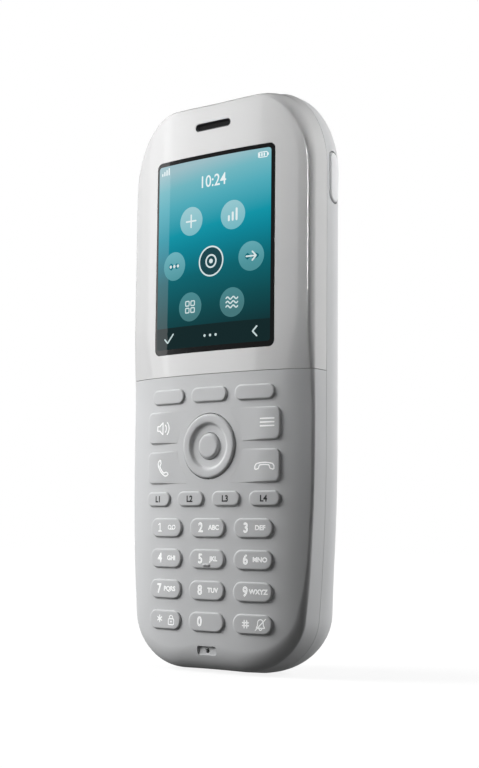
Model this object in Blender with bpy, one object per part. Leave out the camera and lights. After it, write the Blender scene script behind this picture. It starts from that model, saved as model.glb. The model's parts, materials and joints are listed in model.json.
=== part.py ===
"""Cordless office handset: shells, keys, display stack, board, battery, sounders and screws.

The handset stands on its flat lower end. +Z runs up its length, the keys face -Y and +X is the
viewer's right. Sizes are in metres. Depths run back from the crest of the front face.
"""

import math

import bmesh
import bpy

# Fits
GAP = 0.0003
KEY_TRAVEL = 0.0005
TRAVEL_MARGIN = 0.0001
ROCK_CLEARANCE = 0.0006

# Keys
KEY_PROUD = 0.0007
KEY_EDGE = 0.0004
FLANGE_REACH = 0.0006
FLANGE_THICKNESS = 0.0008
DIAL_KEY_WIDTH = 0.0112
DIAL_KEY_HEIGHT = 0.0049
DIAL_KEY_CORNER = 0.0021
DIAL_SPACE_X = 0.00268
DIAL_SPACE_Z = 0.0029
LINE_KEY_WIDTH = 0.0086
LINE_KEY_HEIGHT = 0.0038
LINE_KEY_CORNER = 0.0015
LINE_SPACE_X = 0.0027
SOFT_KEY_WIDTH = 0.0114
SOFT_KEY_HEIGHT = 0.0039
SOFT_KEY_CORNER = 0.0014
SOFT_SPACE_X = 0.00248
PAD_OUTER_X = 0.02125
PAD_INNER_X = 0.0070
PAD_HEIGHT = 0.0083
PAD_SPLIT = 0.0021
PAD_CORNER = 0.0018
PAD_DEPTH = 0.00012
NAV_RADIUS = 0.00824
NAV_DISH_RADIUS = 0.00585
NAV_RIM_HEIGHT = 0.0004
NAV_DISH_DEPTH = 0.0003
NAV_TO_PAD = 0.0023
SELECT_RADIUS = 0.0033
SELECT_FLANGE_REACH = 0.0011
ACTUATOR_THICKNESS = 0.0006

# Places up the front face, from the lower end
MIC_HEIGHT = 0.0055
MIC_TO_DIAL = 0.00465
DIAL_TO_LINE = 0.00295
LINE_TO_PAD = 0.00205
PAD_TO_SOFT = 0.00185
SOFT_TO_SEAM = 0.00335
SEAM_TO_SCREEN = 0.00585
SCREEN_WIDTH = 0.0385
SCREEN_HEIGHT = 0.0518
SCREEN_TO_SLOT = 0.00742
SLOT_TO_TOP = 0.00873
PAD_TO_SIDE = 0.00775

# Body form
BOTTOM_CORNER_X = 0.0158
BOTTOM_CORNER_Z = 0.0144
TOP_CORNER_X = 0.0158
TOP_CORNER_Z = 0.0185
TOP_BOW = 0.0010
TAPER = 0.0028
TAPER_HEIGHT = 0.057
CROWN_DROP = 0.0023
CROWN_POWER_KEYPAD = 2.0
CROWN_POWER_DISPLAY = 4.5
CROWN_BLEND = 0.003
PARTING_DEPTH = 0.0100
FRONT_EDGE_SIDE = 0.0028
FRONT_EDGE_TOP = 0.0056
FRONT_ROUND_SIDE = 0.0096
FRONT_ROUND_BOTTOM = 0.0060
BACK_EDGE_SIDE = 0.0099
BACK_EDGE_TOP = 0.0069
BACK_EDGE_BOTTOM = 0.0040
BACK_ROUND_SIDE = 0.0103
BACK_ROUND_BOTTOM = 0.0055

# Walls and inner stack
FRONT_WALL = 0.0028
SIDE_WALL = 0.0024
TOP_WALL_EXTRA = 0.0010
BACK_WALL = 0.0018
MAT_THICKNESS = 0.0014
BOARD_THICKNESS = 0.0012
BOARD_TO_FLOOR = 0.0060
BAY_FLOOR = 0.0014
BATTERY_WIDTH = 0.0332
BATTERY_LENGTH = 0.0554
BATTERY_THICKNESS = 0.0055
DOOR_THICKNESS = 0.0016
DOOR_LEDGE = 0.0018
BAY_HEIGHT = 0.0160
TONGUE_WIDTH = 0.0120
TONGUE_LENGTH = 0.0012
TONGUE_THICKNESS = 0.0008
SEAM_TONGUE_WIDTH = 0.0360
SEAM_TONGUE_REACH = 0.0022
SEAM_TONGUE_THICKNESS = 0.0011

# Small parts
SLOT_WIDTH = 0.0115
SLOT_HEIGHT = 0.0021
MESH_RECESS = 0.0008
RECEIVER_WIDTH = 0.0130
RECEIVER_HEIGHT = 0.0074
RECEIVER_THICKNESS = 0.0028
LCD_MARGIN = 0.0016
LCD_HOLDER_WALL = 0.0014
MIC_RECESS_WIDTH = 0.0062
MIC_RECESS_HEIGHT = 0.0021
MIC_RECESS_DEPTH = 0.0005
MIC_PORT_RADIUS = 0.0005
MIC_WIDTH = 0.0038
MIC_LENGTH = 0.0030
MIC_THICKNESS = 0.0010
MIC_BOOT_RIM = 0.0008
SIDE_BUTTON_WIDTH = 0.0050
SIDE_BUTTON_LENGTH = 0.0130
SIDE_BUTTON_PROUD = 0.0004
SIDE_BUTTON_TRAVEL = 0.0005
SIDE_BUTTON_FLANGE = 0.0008
SIDE_BUTTON_OFFSET = 0.0010
SIDE_BUTTON_DROP = 0.0175
SWITCH_WIDTH = 0.0060
SWITCH_LENGTH = 0.0064
SPEAKER_RADIUS = 0.0100
SPEAKER_THICKNESS = 0.0048
SPEAKER_DROP = 0.0360
GRILLE_SLOTS = 5
GRILLE_PITCH = 0.0026
GRILLE_SLOT_WIDTH = 0.0140
GRILLE_SLOT_HEIGHT = 0.0012
MOTOR_RADIUS = 0.0050
MOTOR_THICKNESS = 0.0030
ANTENNA_WIDTH = 0.0300
ANTENNA_HEIGHT = 0.0060
ANTENNA_THICKNESS = 0.0006
CONTACT_BLOCK_WIDTH = 0.0120
CONTACT_BLOCK_HEIGHT = 0.0036
CHARGE_OFFSET = 0.0080
CHARGE_WIDTH = 0.0034
CHARGE_THICKNESS = 0.0010
CHARGE_RECESS = 0.0004
CHARGE_FLANGE = 0.0006
SEAL_WIDTH = 0.0009
SEAL_THICKNESS = 0.0012
SCREW_RADIUS = 0.0010
SCREW_HEAD_RADIUS = 0.0019
SCREW_HEAD_HEIGHT = 0.0014
SCREW_BITE = 0.0060
BOSS_WALL = 0.0009
TOP_BOSS_X = 0.0175
TOP_BOSS_DROP = 0.0093
BOTTOM_BOSS_X = 0.0130
BOARD_SIDE_GAP = 0.0075

# Facets
CORNER_STEPS = 7
KEY_CORNER_STEPS = 3
ROUND_STEPS = 24
SMALL_ROUND_STEPS = 12
EDGE_ANGLES = (0, 35, 60, 78, 90)
BACK_ANGLES = (0, 25, 50, 70, 90)
FACE_STEPS = (0.75, 0.5, 0.25, 0.0)
LENS_STEPS = 8
END_ROUNDNESS = 0.45

# Heights up the front face
DIAL_PITCH_X = DIAL_KEY_WIDTH + DIAL_SPACE_X
DIAL_PITCH_Z = DIAL_KEY_HEIGHT + DIAL_SPACE_Z
DIAL_BOTTOM = MIC_HEIGHT + MIC_TO_DIAL
DIAL_TOP = DIAL_BOTTOM + 3 * DIAL_PITCH_Z + DIAL_KEY_HEIGHT
LINE_BOTTOM = DIAL_TOP + DIAL_TO_LINE
PAD_BOTTOM = LINE_BOTTOM + LINE_KEY_HEIGHT + LINE_TO_PAD
NAV_HEIGHT = PAD_BOTTOM + PAD_HEIGHT + PAD_SPLIT / 2
PAD_TOP = NAV_HEIGHT + PAD_SPLIT / 2 + PAD_HEIGHT
SOFT_BOTTOM = PAD_TOP + PAD_TO_SOFT
SOFT_TOP = SOFT_BOTTOM + SOFT_KEY_HEIGHT
SEAM_HEIGHT = SOFT_TOP + SOFT_TO_SEAM
SCREEN_BOTTOM = SEAM_HEIGHT + SEAM_TO_SCREEN
SCREEN_TOP = SCREEN_BOTTOM + SCREEN_HEIGHT
SLOT_CENTRE = SCREEN_TOP + SCREEN_TO_SLOT
LENGTH = SLOT_CENTRE + SLOT_TO_TOP
HALF_WIDTH = PAD_OUTER_X + PAD_TO_SIDE
SPINE_END = HALF_WIDTH
BOSS_RADIUS = SCREW_RADIUS + GAP + BOSS_WALL
BOTTOM_BOSS_HEIGHT = SIDE_WALL + GAP + SEAL_WIDTH + GAP + BOSS_RADIUS

# Depths behind the crest of the front face
FLANGE_FRONT = FRONT_WALL + GAP
FLANGE_BACK = FLANGE_FRONT + FLANGE_THICKNESS
MAT_FRONT = FLANGE_BACK + KEY_TRAVEL + TRAVEL_MARGIN
MAT_BACK = MAT_FRONT + MAT_THICKNESS
BOARD_FRONT = MAT_BACK + GAP
BOARD_BACK = BOARD_FRONT + BOARD_THICKNESS
FLOOR_FRONT = BOARD_BACK + BOARD_TO_FLOOR
FLOOR_BACK = FLOOR_FRONT + BAY_FLOOR
BATTERY_FRONT = FLOOR_BACK + GAP
BATTERY_BACK = BATTERY_FRONT + BATTERY_THICKNESS
DOOR_FRONT = BATTERY_BACK + GAP
DEPTH = DOOR_FRONT + DOOR_THICKNESS
BACK_INSIDE = DEPTH - BACK_WALL
FRONT_RIM = PARTING_DEPTH - GAP / 2
BACK_RIM = PARTING_DEPTH + GAP / 2
MIDDLE_DEPTH = (DEPTH - KEY_PROUD) / 2
BEYOND = DEPTH

# Shell colours
LIGHT_GREY = (0.70, 0.71, 0.71, 1.0)
WHITE_GREY = (0.78, 0.79, 0.79, 1.0)


def clear_scene():
    """Remove whatever the file already holds."""
    for old in list(bpy.data.objects):
        bpy.data.objects.remove(old, do_unlink=True)


def material(name, colour, roughness, metallic=0.0):
    """A Principled material of one colour, made once for each name."""
    found = bpy.data.materials.get(name)
    if found:
        return found
    made = bpy.data.materials.new(name)
    made.use_nodes = True
    shader = made.node_tree.nodes["Principled BSDF"]
    shader.inputs["Base Color"].default_value = colour
    shader.inputs["Roughness"].default_value = roughness
    shader.inputs["Metallic"].default_value = metallic
    made.diffuse_color = colour
    return made


def matte_plastic():
    return material("matte grey plastic", LIGHT_GREY, 0.55)


def gloss_plastic():
    return material("gloss grey plastic", WHITE_GREY, 0.12)


def dark_plastic():
    return material("dark plastic", (0.03, 0.03, 0.035, 1.0), 0.5)


def rubber():
    return material("grey silicone rubber", (0.35, 0.35, 0.36, 1.0), 0.8)


def bright_metal():
    return material("plated metal", (0.75, 0.72, 0.62, 1.0), 0.3, 1.0)


def steel():
    return material("zinc plated steel", (0.55, 0.56, 0.58, 1.0), 0.35, 1.0)


def rounded_rectangle(x, z, width, height, radius, steps=KEY_CORNER_STEPS):
    """Loop of (x, z) points round a rectangle whose corners are arcs."""
    half_x = width / 2 - radius
    half_z = height / 2 - radius
    loop = []
    for quarter, (sign_x, sign_z) in enumerate(((1, 1), (-1, 1), (-1, -1), (1, -1))):
        for step in range(steps + 1):
            angle = math.pi / 2 * (quarter + step / steps)
            loop.append((x + sign_x * half_x + radius * math.cos(angle),
                         z + sign_z * half_z + radius * math.sin(angle)))
    return loop


def slot_loop(x, z, width, height):
    """Loop of a long slot with nearly half-round ends."""
    return rounded_rectangle(x, z, width, height, height * END_ROUNDNESS)


def circle(x, z, radius, steps=ROUND_STEPS):
    """Loop of (x, z) points round a circle."""
    turn = 2 * math.pi / steps
    return [(x + radius * math.cos(turn * i), z + radius * math.sin(turn * i)) for i in range(steps)]


def rectangle(x0, x1, z0, z1):
    """Loop of the four corners of a rectangle."""
    return [(x0, z0), (x1, z0), (x1, z1), (x0, z1)]


def body_outline(inset=0.0, top_inset=0.0):
    """Front outline of the handset, drawn in by inset: elliptic corners, tapered lower sides."""
    low = inset
    high = LENGTH - inset - top_inset
    bottom_x = HALF_WIDTH - BOTTOM_CORNER_X
    top_x = HALF_WIDTH - TOP_CORNER_X
    top_z = LENGTH - TOP_CORNER_Z
    half = [(0.0, low), (bottom_x / 2, low)]
    for step in range(CORNER_STEPS + 1):
        angle = math.pi / 2 * step / CORNER_STEPS
        half.append((bottom_x + (BOTTOM_CORNER_X - inset) * math.sin(angle),
                     BOTTOM_CORNER_Z - (BOTTOM_CORNER_Z - inset) * math.cos(angle)))
    side_levels = (DIAL_TOP, SEAM_HEIGHT - CROWN_BLEND, SCREEN_BOTTOM, (SCREEN_BOTTOM + top_z) / 2)
    half += [(HALF_WIDTH - inset, level) for level in side_levels]
    for step in range(CORNER_STEPS + 1):
        angle = math.pi / 2 * step / CORNER_STEPS
        half.append((top_x + (TOP_CORNER_X - inset) * math.cos(angle),
                     top_z + (TOP_CORNER_Z - inset - top_inset) * math.sin(angle)))
    half += [(top_x / 2, high), (0.0, high)]
    half = [shaped_side(x, z) for x, z in half]
    return half + [(-x, z) for x, z in half[-2:0:-1]]


def shaped_side(x, z):
    """Narrow the lower sides and bow the upper end of an outline point."""
    short = max(0.0, TAPER_HEIGHT - z) / TAPER_HEIGHT
    narrowed = x * (1 - TAPER / HALF_WIDTH * short ** 2)
    bow = TOP_BOW * (x / HALF_WIDTH) ** 2 if z > SCREEN_BOTTOM else 0.0
    return narrowed, z - bow


def crown(x, z):
    """Depth of the front face: a power of x that flattens from the keypad to the display."""
    low = SEAM_HEIGHT - CROWN_BLEND
    share = min(1.0, max(0.0, (z - low) / (SCREEN_BOTTOM - low)))
    power = CROWN_POWER_KEYPAD + (CROWN_POWER_DISPLAY - CROWN_POWER_KEYPAD) * share
    return CROWN_DROP * (abs(x) / HALF_WIDTH) ** power


def spine_foot(z):
    """Height of the nearest point on the body's middle line, which stops short of both ends."""
    return min(max(z, SPINE_END), LENGTH - SPINE_END)


def inward(x, z):
    """Direction from an outline point to its foot on the middle line."""
    rise = spine_foot(z) - z
    length = math.hypot(x, rise)
    return -x / length, rise / length


def edge_blend(side, top, bottom, inward_z):
    """Mix three edge sizes by how far an outline point faces up or down."""
    up = max(0.0, -inward_z) ** 2
    down = max(0.0, inward_z) ** 2
    return side + (top - side) * up + (bottom - side) * down


def front_rings():
    """Loops of the front half: straight rim, elliptic edge, crowned face down to the spine."""
    loop = body_outline()
    rings = [[(x, FRONT_RIM, z) for x, z in loop]]
    for degrees in EDGE_ANGLES:
        angle = math.radians(degrees)
        ring = []
        for x, z in loop:
            step_x, step_z = inward(x, z)
            reach = edge_blend(FRONT_EDGE_SIDE, FRONT_EDGE_TOP, FRONT_EDGE_SIDE, step_z)
            depth = edge_blend(FRONT_ROUND_SIDE, FRONT_ROUND_SIDE, FRONT_ROUND_BOTTOM, step_z)
            inset = reach * (1 - math.cos(angle))
            px = x + step_x * inset
            pz = z + step_z * inset
            ring.append((px, depth * (1 - math.sin(angle)) + crown(px, pz) * math.sin(angle), pz))
        rings.append(ring)
    edge = rings[-1]
    for share in FACE_STEPS:
        ring = []
        for (x, _, z), (_, outline_z) in zip(edge, loop):
            foot = spine_foot(outline_z)
            px = x * share
            pz = foot + (z - foot) * share
            ring.append((px, crown(px, pz), pz))
        rings.append(ring)
    return rings


def back_rings():
    """Loops of the rear half: straight rim, elliptic edge and the flat back's border."""
    loop = body_outline()
    rings = [[(x, BACK_RIM, z) for x, z in loop]]
    for degrees in BACK_ANGLES:
        angle = math.radians(degrees)
        ring = []
        for x, z in loop:
            step_x, step_z = inward(x, z)
            reach = edge_blend(BACK_EDGE_SIDE, BACK_EDGE_TOP, BACK_EDGE_BOTTOM, step_z)
            depth = edge_blend(BACK_ROUND_SIDE, BACK_ROUND_SIDE, BACK_ROUND_BOTTOM, step_z)
            inset = reach * (1 - math.cos(angle))
            ring.append((x + step_x * inset, DEPTH - depth * (1 - math.sin(angle)), z + step_z * inset))
        rings.append(ring)
    return rings


def new_object(name, bm, finish, origin=(0.0, 0.0, 0.0)):
    """Turn a bmesh of (x, depth, z) points into a named object whose origin is given the same way."""
    for vert in bm.verts:
        x, depth, z = vert.co
        vert.co = (x - origin[0], depth - origin[1], z - origin[2])
    bmesh.ops.remove_doubles(bm, verts=bm.verts, dist=1e-7)
    bmesh.ops.recalc_face_normals(bm, faces=bm.faces)
    mesh = bpy.data.meshes.new(name)
    bm.to_mesh(mesh)
    bm.free()
    mesh.materials.append(finish)
    mesh.shade_smooth()
    mesh.set_sharp_from_angle(angle=math.radians(30))
    made = bpy.data.objects.new(name, mesh)
    bpy.context.scene.collection.objects.link(made)
    made.location = origin
    made.parent = bpy.data.objects["handset"]
    return made


def loft(name, rings, finish, origin=(0.0, 0.0, 0.0), closed=False):
    """Skin loops of equally many points; close the ends with faces, or the last loop to the first."""
    bm = bmesh.new()
    loops = [[bm.verts.new(point) for point in ring] for ring in rings]
    count = len(loops[0])
    pairs = list(zip(loops, loops[1:]))
    if closed:
        pairs.append((loops[-1], loops[0]))
    for lower, upper in pairs:
        for i in range(count):
            j = (i + 1) % count
            bm.faces.new((lower[i], lower[j], upper[j], upper[i]))
    if not closed:
        bm.faces.new(loops[0][::-1])
        bm.faces.new(loops[-1])
    return new_object(name, bm, finish, origin)


def spine_loft(name, rings, finish):
    """Skin loops whose last one lies doubled on the spine, so that its two sides are sewn."""
    bm = bmesh.new()
    loops = [[bm.verts.new(point) for point in ring] for ring in rings]
    count = len(loops[0])
    for lower, upper in zip(loops, loops[1:]):
        for i in range(count):
            j = (i + 1) % count
            bm.faces.new((lower[i], lower[j], upper[j], upper[i]))
    bm.faces.new(loops[0][::-1])
    bmesh.ops.remove_doubles(bm, verts=bm.verts, dist=1e-7)
    bmesh.ops.dissolve_degenerate(bm, edges=bm.edges, dist=1e-8)
    bmesh.ops.triangulate(bm, faces=bm.faces)
    return new_object(name, bm, finish)


def prism(name, loop, front, back, finish, origin=(0.0, 0.0, 0.0)):
    """Straight solid of an (x, z) loop between two depths."""
    rings = [[(x, depth, z) for x, z in loop] for depth in (front, back)]
    return loft(name, rings, finish, origin)


def block(name, x_range, depth_range, z_range, finish):
    """Rectangular solid."""
    return prism(name, rectangle(*x_range, *z_range), *depth_range, finish)


def turned(name, profile, x, z, finish, steps=ROUND_STEPS, origin=(0.0, 0.0, 0.0), closed=False):
    """Solid of revolution about a front-to-back axis from (radius, depth) points."""
    rings = [[(px, depth, pz) for px, pz in circle(x, z, radius, steps)] for radius, depth in profile]
    return loft(name, rings, finish, origin, closed)


def combine(target, tool, operation):
    """Add a Boolean with a hidden tool to a target."""
    tool.hide_render = True
    tool.display_type = "WIRE"
    change = target.modifiers.new(tool.name, "BOOLEAN")
    change.operation = operation
    change.solver = "EXACT"
    change.object = tool


def cut(target, tool):
    combine(target, tool, "DIFFERENCE")


def add(target, tool):
    combine(target, tool, "UNION")


def boss_places():
    """Screw places: two above the display and two beside the microphone."""
    top = LENGTH - TOP_BOSS_DROP
    return ((-TOP_BOSS_X, top), (TOP_BOSS_X, top),
            (-BOTTOM_BOSS_X, BOTTOM_BOSS_HEIGHT), (BOTTOM_BOSS_X, BOTTOM_BOSS_HEIGHT))


def add_boss(shell, name, x, z):
    """Screw post inside a front shell, with its pilot hole."""
    finish = matte_plastic()
    post = circle(x, z, BOSS_RADIUS, SMALL_ROUND_STEPS)
    add(shell, prism(name + "_post", post, FRONT_WALL - GAP, FLOOR_FRONT - GAP, finish))
    pilot = circle(x, z, SCREW_RADIUS + GAP, SMALL_ROUND_STEPS)
    cut(shell, prism(name + "_pilot", pilot, FLOOR_FRONT - GAP - SCREW_BITE - GAP, BEYOND, finish))


def front_shell(name, low, high, finish):
    """One half of the front: outer skin cut at the seam and hollowed from behind."""
    shell = spine_loft(name, front_rings(), finish)
    cavity = body_outline(SIDE_WALL, TOP_WALL_EXTRA)
    cut(shell, prism(name + "_cavity", cavity, FRONT_WALL, BEYOND, finish))
    keep = block(name + "_extent", (-BEYOND * 2, BEYOND * 2), (-BEYOND, BEYOND), (low, high), finish)
    combine(shell, keep, "INTERSECT")
    return shell


def make_keypad_cover(openings):
    """Matte lower front shell with key openings, microphone recess and a tongue under the seam."""
    finish = matte_plastic()
    shell = front_shell("keypad_cover", -BEYOND, SEAM_HEIGHT - GAP / 2, finish)
    for name, loop in openings:
        cut(shell, prism(name + "_opening", loop, -BEYOND, FRONT_WALL + GAP, finish))
    recess = slot_loop(0, MIC_HEIGHT, MIC_RECESS_WIDTH, MIC_RECESS_HEIGHT)
    cut(shell, prism("mic_recess", recess, -BEYOND, MIC_RECESS_DEPTH, finish))
    port = circle(0, MIC_HEIGHT, MIC_PORT_RADIUS, SMALL_ROUND_STEPS)
    cut(shell, prism("mic_port", port, -BEYOND, FRONT_WALL + GAP, finish))
    half = SEAM_TONGUE_WIDTH / 2
    root = (SOFT_TOP + FLANGE_REACH + GAP, SEAM_HEIGHT - GAP)
    add(shell, block("seam_tongue_root", (-half, half), (FRONT_WALL - GAP, FLANGE_FRONT + GAP), root, finish))
    reach = (root[0], SEAM_HEIGHT + SEAM_TONGUE_REACH)
    depths = (FLANGE_FRONT, FLANGE_FRONT + SEAM_TONGUE_THICKNESS)
    add(shell, block("seam_tongue", (-half, half), depths, reach, finish))
    for i, (x, z) in enumerate(boss_places()[2:]):
        add_boss(shell, "keypad_boss_%d" % i, x, z)


def make_display_cover():
    """Glossy upper front shell with the display window and the earpiece slot."""
    finish = gloss_plastic()
    shell = front_shell("display_cover", SEAM_HEIGHT + GAP / 2, LENGTH + BEYOND, finish)
    half = SCREEN_WIDTH / 2 + GAP
    window = rectangle(-half, half, SCREEN_BOTTOM - GAP, SCREEN_TOP + GAP)
    cut(shell, prism("display_window", window, -BEYOND, FRONT_WALL + GAP, finish))
    slot = slot_loop(0, SLOT_CENTRE, SLOT_WIDTH, SLOT_HEIGHT)
    cut(shell, prism("earpiece_slot", slot, -BEYOND, FRONT_WALL + GAP, finish))
    for i, (x, z) in enumerate(boss_places()[:2]):
        add_boss(shell, "display_boss_%d" % i, x, z)


def door_rectangle(grow):
    """Battery door outline, grown by a clearance."""
    half = BATTERY_WIDTH / 2 + GAP + DOOR_LEDGE + grow
    low = BAY_HEIGHT - DOOR_LEDGE - grow
    high = BAY_HEIGHT + BATTERY_LENGTH + 2 * GAP + DOOR_LEDGE + grow
    return -half, half, low, high


def make_back_housing():
    """Rear shell: shallow front hollow, deep speaker hollow, battery bay, door seat and openings."""
    finish = matte_plastic()
    shell = loft("back_housing", back_rings(), finish)
    cavity = body_outline(SIDE_WALL, TOP_WALL_EXTRA)
    cut(shell, prism("front_hollow", cavity, -BEYOND, FLOOR_FRONT, finish))
    half = hollow_half_width()
    low = door_rectangle(0)[3] + DOOR_LEDGE
    high = boss_places()[0][1] - SCREW_HEAD_RADIUS - GAP - BOSS_WALL
    cut(shell, block("speaker_hollow", (-half, half), (0, BACK_INSIDE), (low, high), finish))
    half = BATTERY_WIDTH / 2 + GAP
    bay = (BAY_HEIGHT, BAY_HEIGHT + BATTERY_LENGTH + 2 * GAP)
    cut(shell, block("battery_bay", (-half, half), (FLOOR_BACK, DEPTH + BEYOND), bay, finish))
    seat = rectangle(*door_rectangle(GAP))
    cut(shell, prism("door_seat", seat, DOOR_FRONT - GAP, DEPTH + BEYOND, finish))
    half = TONGUE_WIDTH / 2 + GAP
    low = door_rectangle(0)[2]
    depths = (DOOR_FRONT - GAP, DOOR_FRONT + TONGUE_THICKNESS + GAP)
    cut(shell, block("tongue_slot", (-half, half), depths, (low - TONGUE_LENGTH - GAP, low + GAP), finish))
    x_range, z_range = contact_block_place(GAP)
    cut(shell, block("contact_slot", x_range, (0, BATTERY_BACK), z_range, finish))
    for i in range(GRILLE_SLOTS):
        z = speaker_height() + (i - (GRILLE_SLOTS - 1) / 2) * GRILLE_PITCH
        loop = slot_loop(0, z, GRILLE_SLOT_WIDTH, GRILLE_SLOT_HEIGHT)
        cut(shell, prism("grille_slot_%d" % i, loop, BACK_INSIDE - GAP, DEPTH + BEYOND, finish))
    for i, (x, z) in enumerate(boss_places()):
        hole = circle(x, z, SCREW_RADIUS + GAP, SMALL_ROUND_STEPS)
        cut(shell, prism("screw_hole_%d" % i, hole, 0, DEPTH + BEYOND, finish))
        sink = circle(x, z, SCREW_HEAD_RADIUS + GAP, SMALL_ROUND_STEPS)
        cut(shell, prism("screw_sink_%d" % i, sink, screw_seat(), DEPTH + BEYOND, finish))
    cut_side_button(shell, finish)
    for i, sign in enumerate((-1, 1)):
        x_range, depths = charge_place(sign, GAP)
        cut(shell, block("charge_slot_%d" % i, x_range, depths, (-BEYOND, SIDE_WALL + GAP), finish))


def hollow_half_width():
    """Half width of the deep hollow that leaves a full wall inside the rounded back edge."""
    sine = 1 - BACK_WALL / BACK_ROUND_SIDE
    inset = BACK_EDGE_SIDE * (1 - math.sqrt(1 - sine ** 2))
    return HALF_WIDTH - inset - BACK_WALL


def screw_seat():
    """Depth of the face that the screw heads press on."""
    return FLOOR_FRONT + BAY_FLOOR


def speaker_height():
    return LENGTH - SPEAKER_DROP


def side_button_centre():
    """Depth and height of the side button's middle."""
    depth = BACK_RIM + SIDE_BUTTON_OFFSET + SIDE_BUTTON_WIDTH / 2
    return depth, LENGTH - SIDE_BUTTON_DROP - SIDE_BUTTON_LENGTH / 2


def side_loop(grow, grow_ends):
    """Side button outline as (depth, z) points."""
    depth, z = side_button_centre()
    width = SIDE_BUTTON_WIDTH + 2 * grow
    length = SIDE_BUTTON_LENGTH + 2 * grow_ends
    return rounded_rectangle(depth, z, width, length, width * END_ROUNDNESS)


def side_loft(name, levels, finish, origin=(0.0, 0.0, 0.0)):
    """Solid skinned between (x, outline) levels across the body."""
    rings = [[(x, depth, z) for depth, z in loop] for x, loop in levels]
    return loft(name, rings, finish, origin)


def side_inside():
    """Inner face of the right wall."""
    return HALF_WIDTH - SIDE_WALL


def cut_side_button(shell, finish):
    """Opening for the side button, and room behind it for its flange and switch."""
    hole = side_loop(GAP, GAP)
    cut(shell, side_loft("side_opening", [(side_inside() - GAP, hole), (HALF_WIDTH + BEYOND, hole)], finish))
    depth, z = side_button_centre()
    half = SIDE_BUTTON_LENGTH / 2 + FLANGE_REACH + GAP
    depths = (0, depth + SIDE_BUTTON_WIDTH / 2 + GAP)
    inner = HALF_WIDTH - BACK_EDGE_SIDE
    cut(shell, block("side_pocket", (inner, side_inside()), depths, (z - half, z + half), finish))


def make_side_button():
    """Oval push key: domed face, body in the opening and end flanges behind the wall."""
    depth, z = side_button_centre()
    flange = side_inside() - GAP
    face = HALF_WIDTH + SIDE_BUTTON_PROUD
    levels = [(flange - SIDE_BUTTON_FLANGE, side_loop(0, FLANGE_REACH)),
              (flange, side_loop(0, FLANGE_REACH)),
              (flange, side_loop(0, 0)),
              (face - KEY_EDGE, side_loop(0, 0)),
              (face, side_loop(-KEY_EDGE, -KEY_EDGE))]
    side_loft("side_button", levels, matte_plastic(), (flange, depth, z))


def make_side_switch():
    """Switch that stands on the board behind the side button."""
    depth, z = side_button_centre()
    face = side_inside() - GAP - SIDE_BUTTON_FLANGE - SIDE_BUTTON_TRAVEL - TRAVEL_MARGIN
    z_range = (z - SWITCH_LENGTH / 2, z + SWITCH_LENGTH / 2)
    depths = (BOARD_BACK + GAP, depth + SIDE_BUTTON_WIDTH / 2 - GAP)
    block("side_switch", (face - SWITCH_WIDTH, face), depths, z_range, dark_plastic())


def key_solid(name, outline, x, z, face_depth):
    """One key: flange behind the shell, body in the opening and a face with a rounded border.

    outline(grow) gives the key's loop and face_depth(px, pz) the depth of its face.
    """
    wide = outline(FLANGE_REACH)
    body = outline(0.0)
    face = outline(-KEY_EDGE)
    rings = [[(px, FLANGE_BACK, pz) for px, pz in wide],
             [(px, FLANGE_FRONT, pz) for px, pz in wide],
             [(px, FLANGE_FRONT, pz) for px, pz in body],
             [(px, face_depth(px, pz) + KEY_EDGE, pz) for px, pz in body],
             [(px, face_depth(px, pz), pz) for px, pz in face]]
    loft(name, rings, matte_plastic(), (x, FLANGE_BACK, z))
    return name, outline(GAP)


def pill_key(name, x, z, width, height, corner):
    """Key with a rounded rectangular face that follows the crown."""
    def outline(grow):
        return rounded_rectangle(x, z, width + 2 * grow, height + 2 * grow, corner + grow)

    def face_depth(px, pz):
        return crown(px, pz) - KEY_PROUD

    return key_solid(name, outline, x, z, face_depth)


def pad_loop(side, level, grow):
    """Function pad: two outer corners, and an inner side hollowed round the navigation ring."""
    arc = NAV_RADIUS + NAV_TO_PAD - grow
    low = PAD_SPLIT / 2 - grow
    high = PAD_SPLIT / 2 + PAD_HEIGHT + grow
    outer = PAD_OUTER_X + grow
    inner = PAD_INNER_X - grow
    radius = PAD_CORNER + grow
    points = []
    for step in range(KEY_CORNER_STEPS + 1):
        angle = math.pi / 2 * step / KEY_CORNER_STEPS
        points.append((outer - radius + radius * math.sin(angle), low + radius - radius * math.cos(angle)))
    for step in range(KEY_CORNER_STEPS + 1):
        angle = math.pi / 2 * step / KEY_CORNER_STEPS
        points.append((outer - radius + radius * math.cos(angle), high - radius + radius * math.sin(angle)))
    points.append((inner, high))
    first = math.acos(inner / arc)
    last = math.asin(low / arc)
    arc_steps = KEY_CORNER_STEPS + 1
    for step in range(arc_steps + 1):
        angle = first + (last - first) * step / arc_steps
        points.append((arc * math.cos(angle), arc * math.sin(angle)))
    loop = [(side * px, NAV_HEIGHT + level * pz) for px, pz in points]
    return loop if side * level > 0 else loop[::-1]


def pad_key(name, side, level):
    """Flat function pad that stands out of the crowned face towards its outer border."""
    x = side * (PAD_OUTER_X + NAV_RADIUS) / 2
    z = NAV_HEIGHT + level * (PAD_SPLIT + PAD_HEIGHT) / 2

    def outline(grow):
        return pad_loop(side, level, grow)

    def face_depth(px, pz):
        return PAD_DEPTH

    return key_solid(name, outline, x, z, face_depth)


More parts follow.
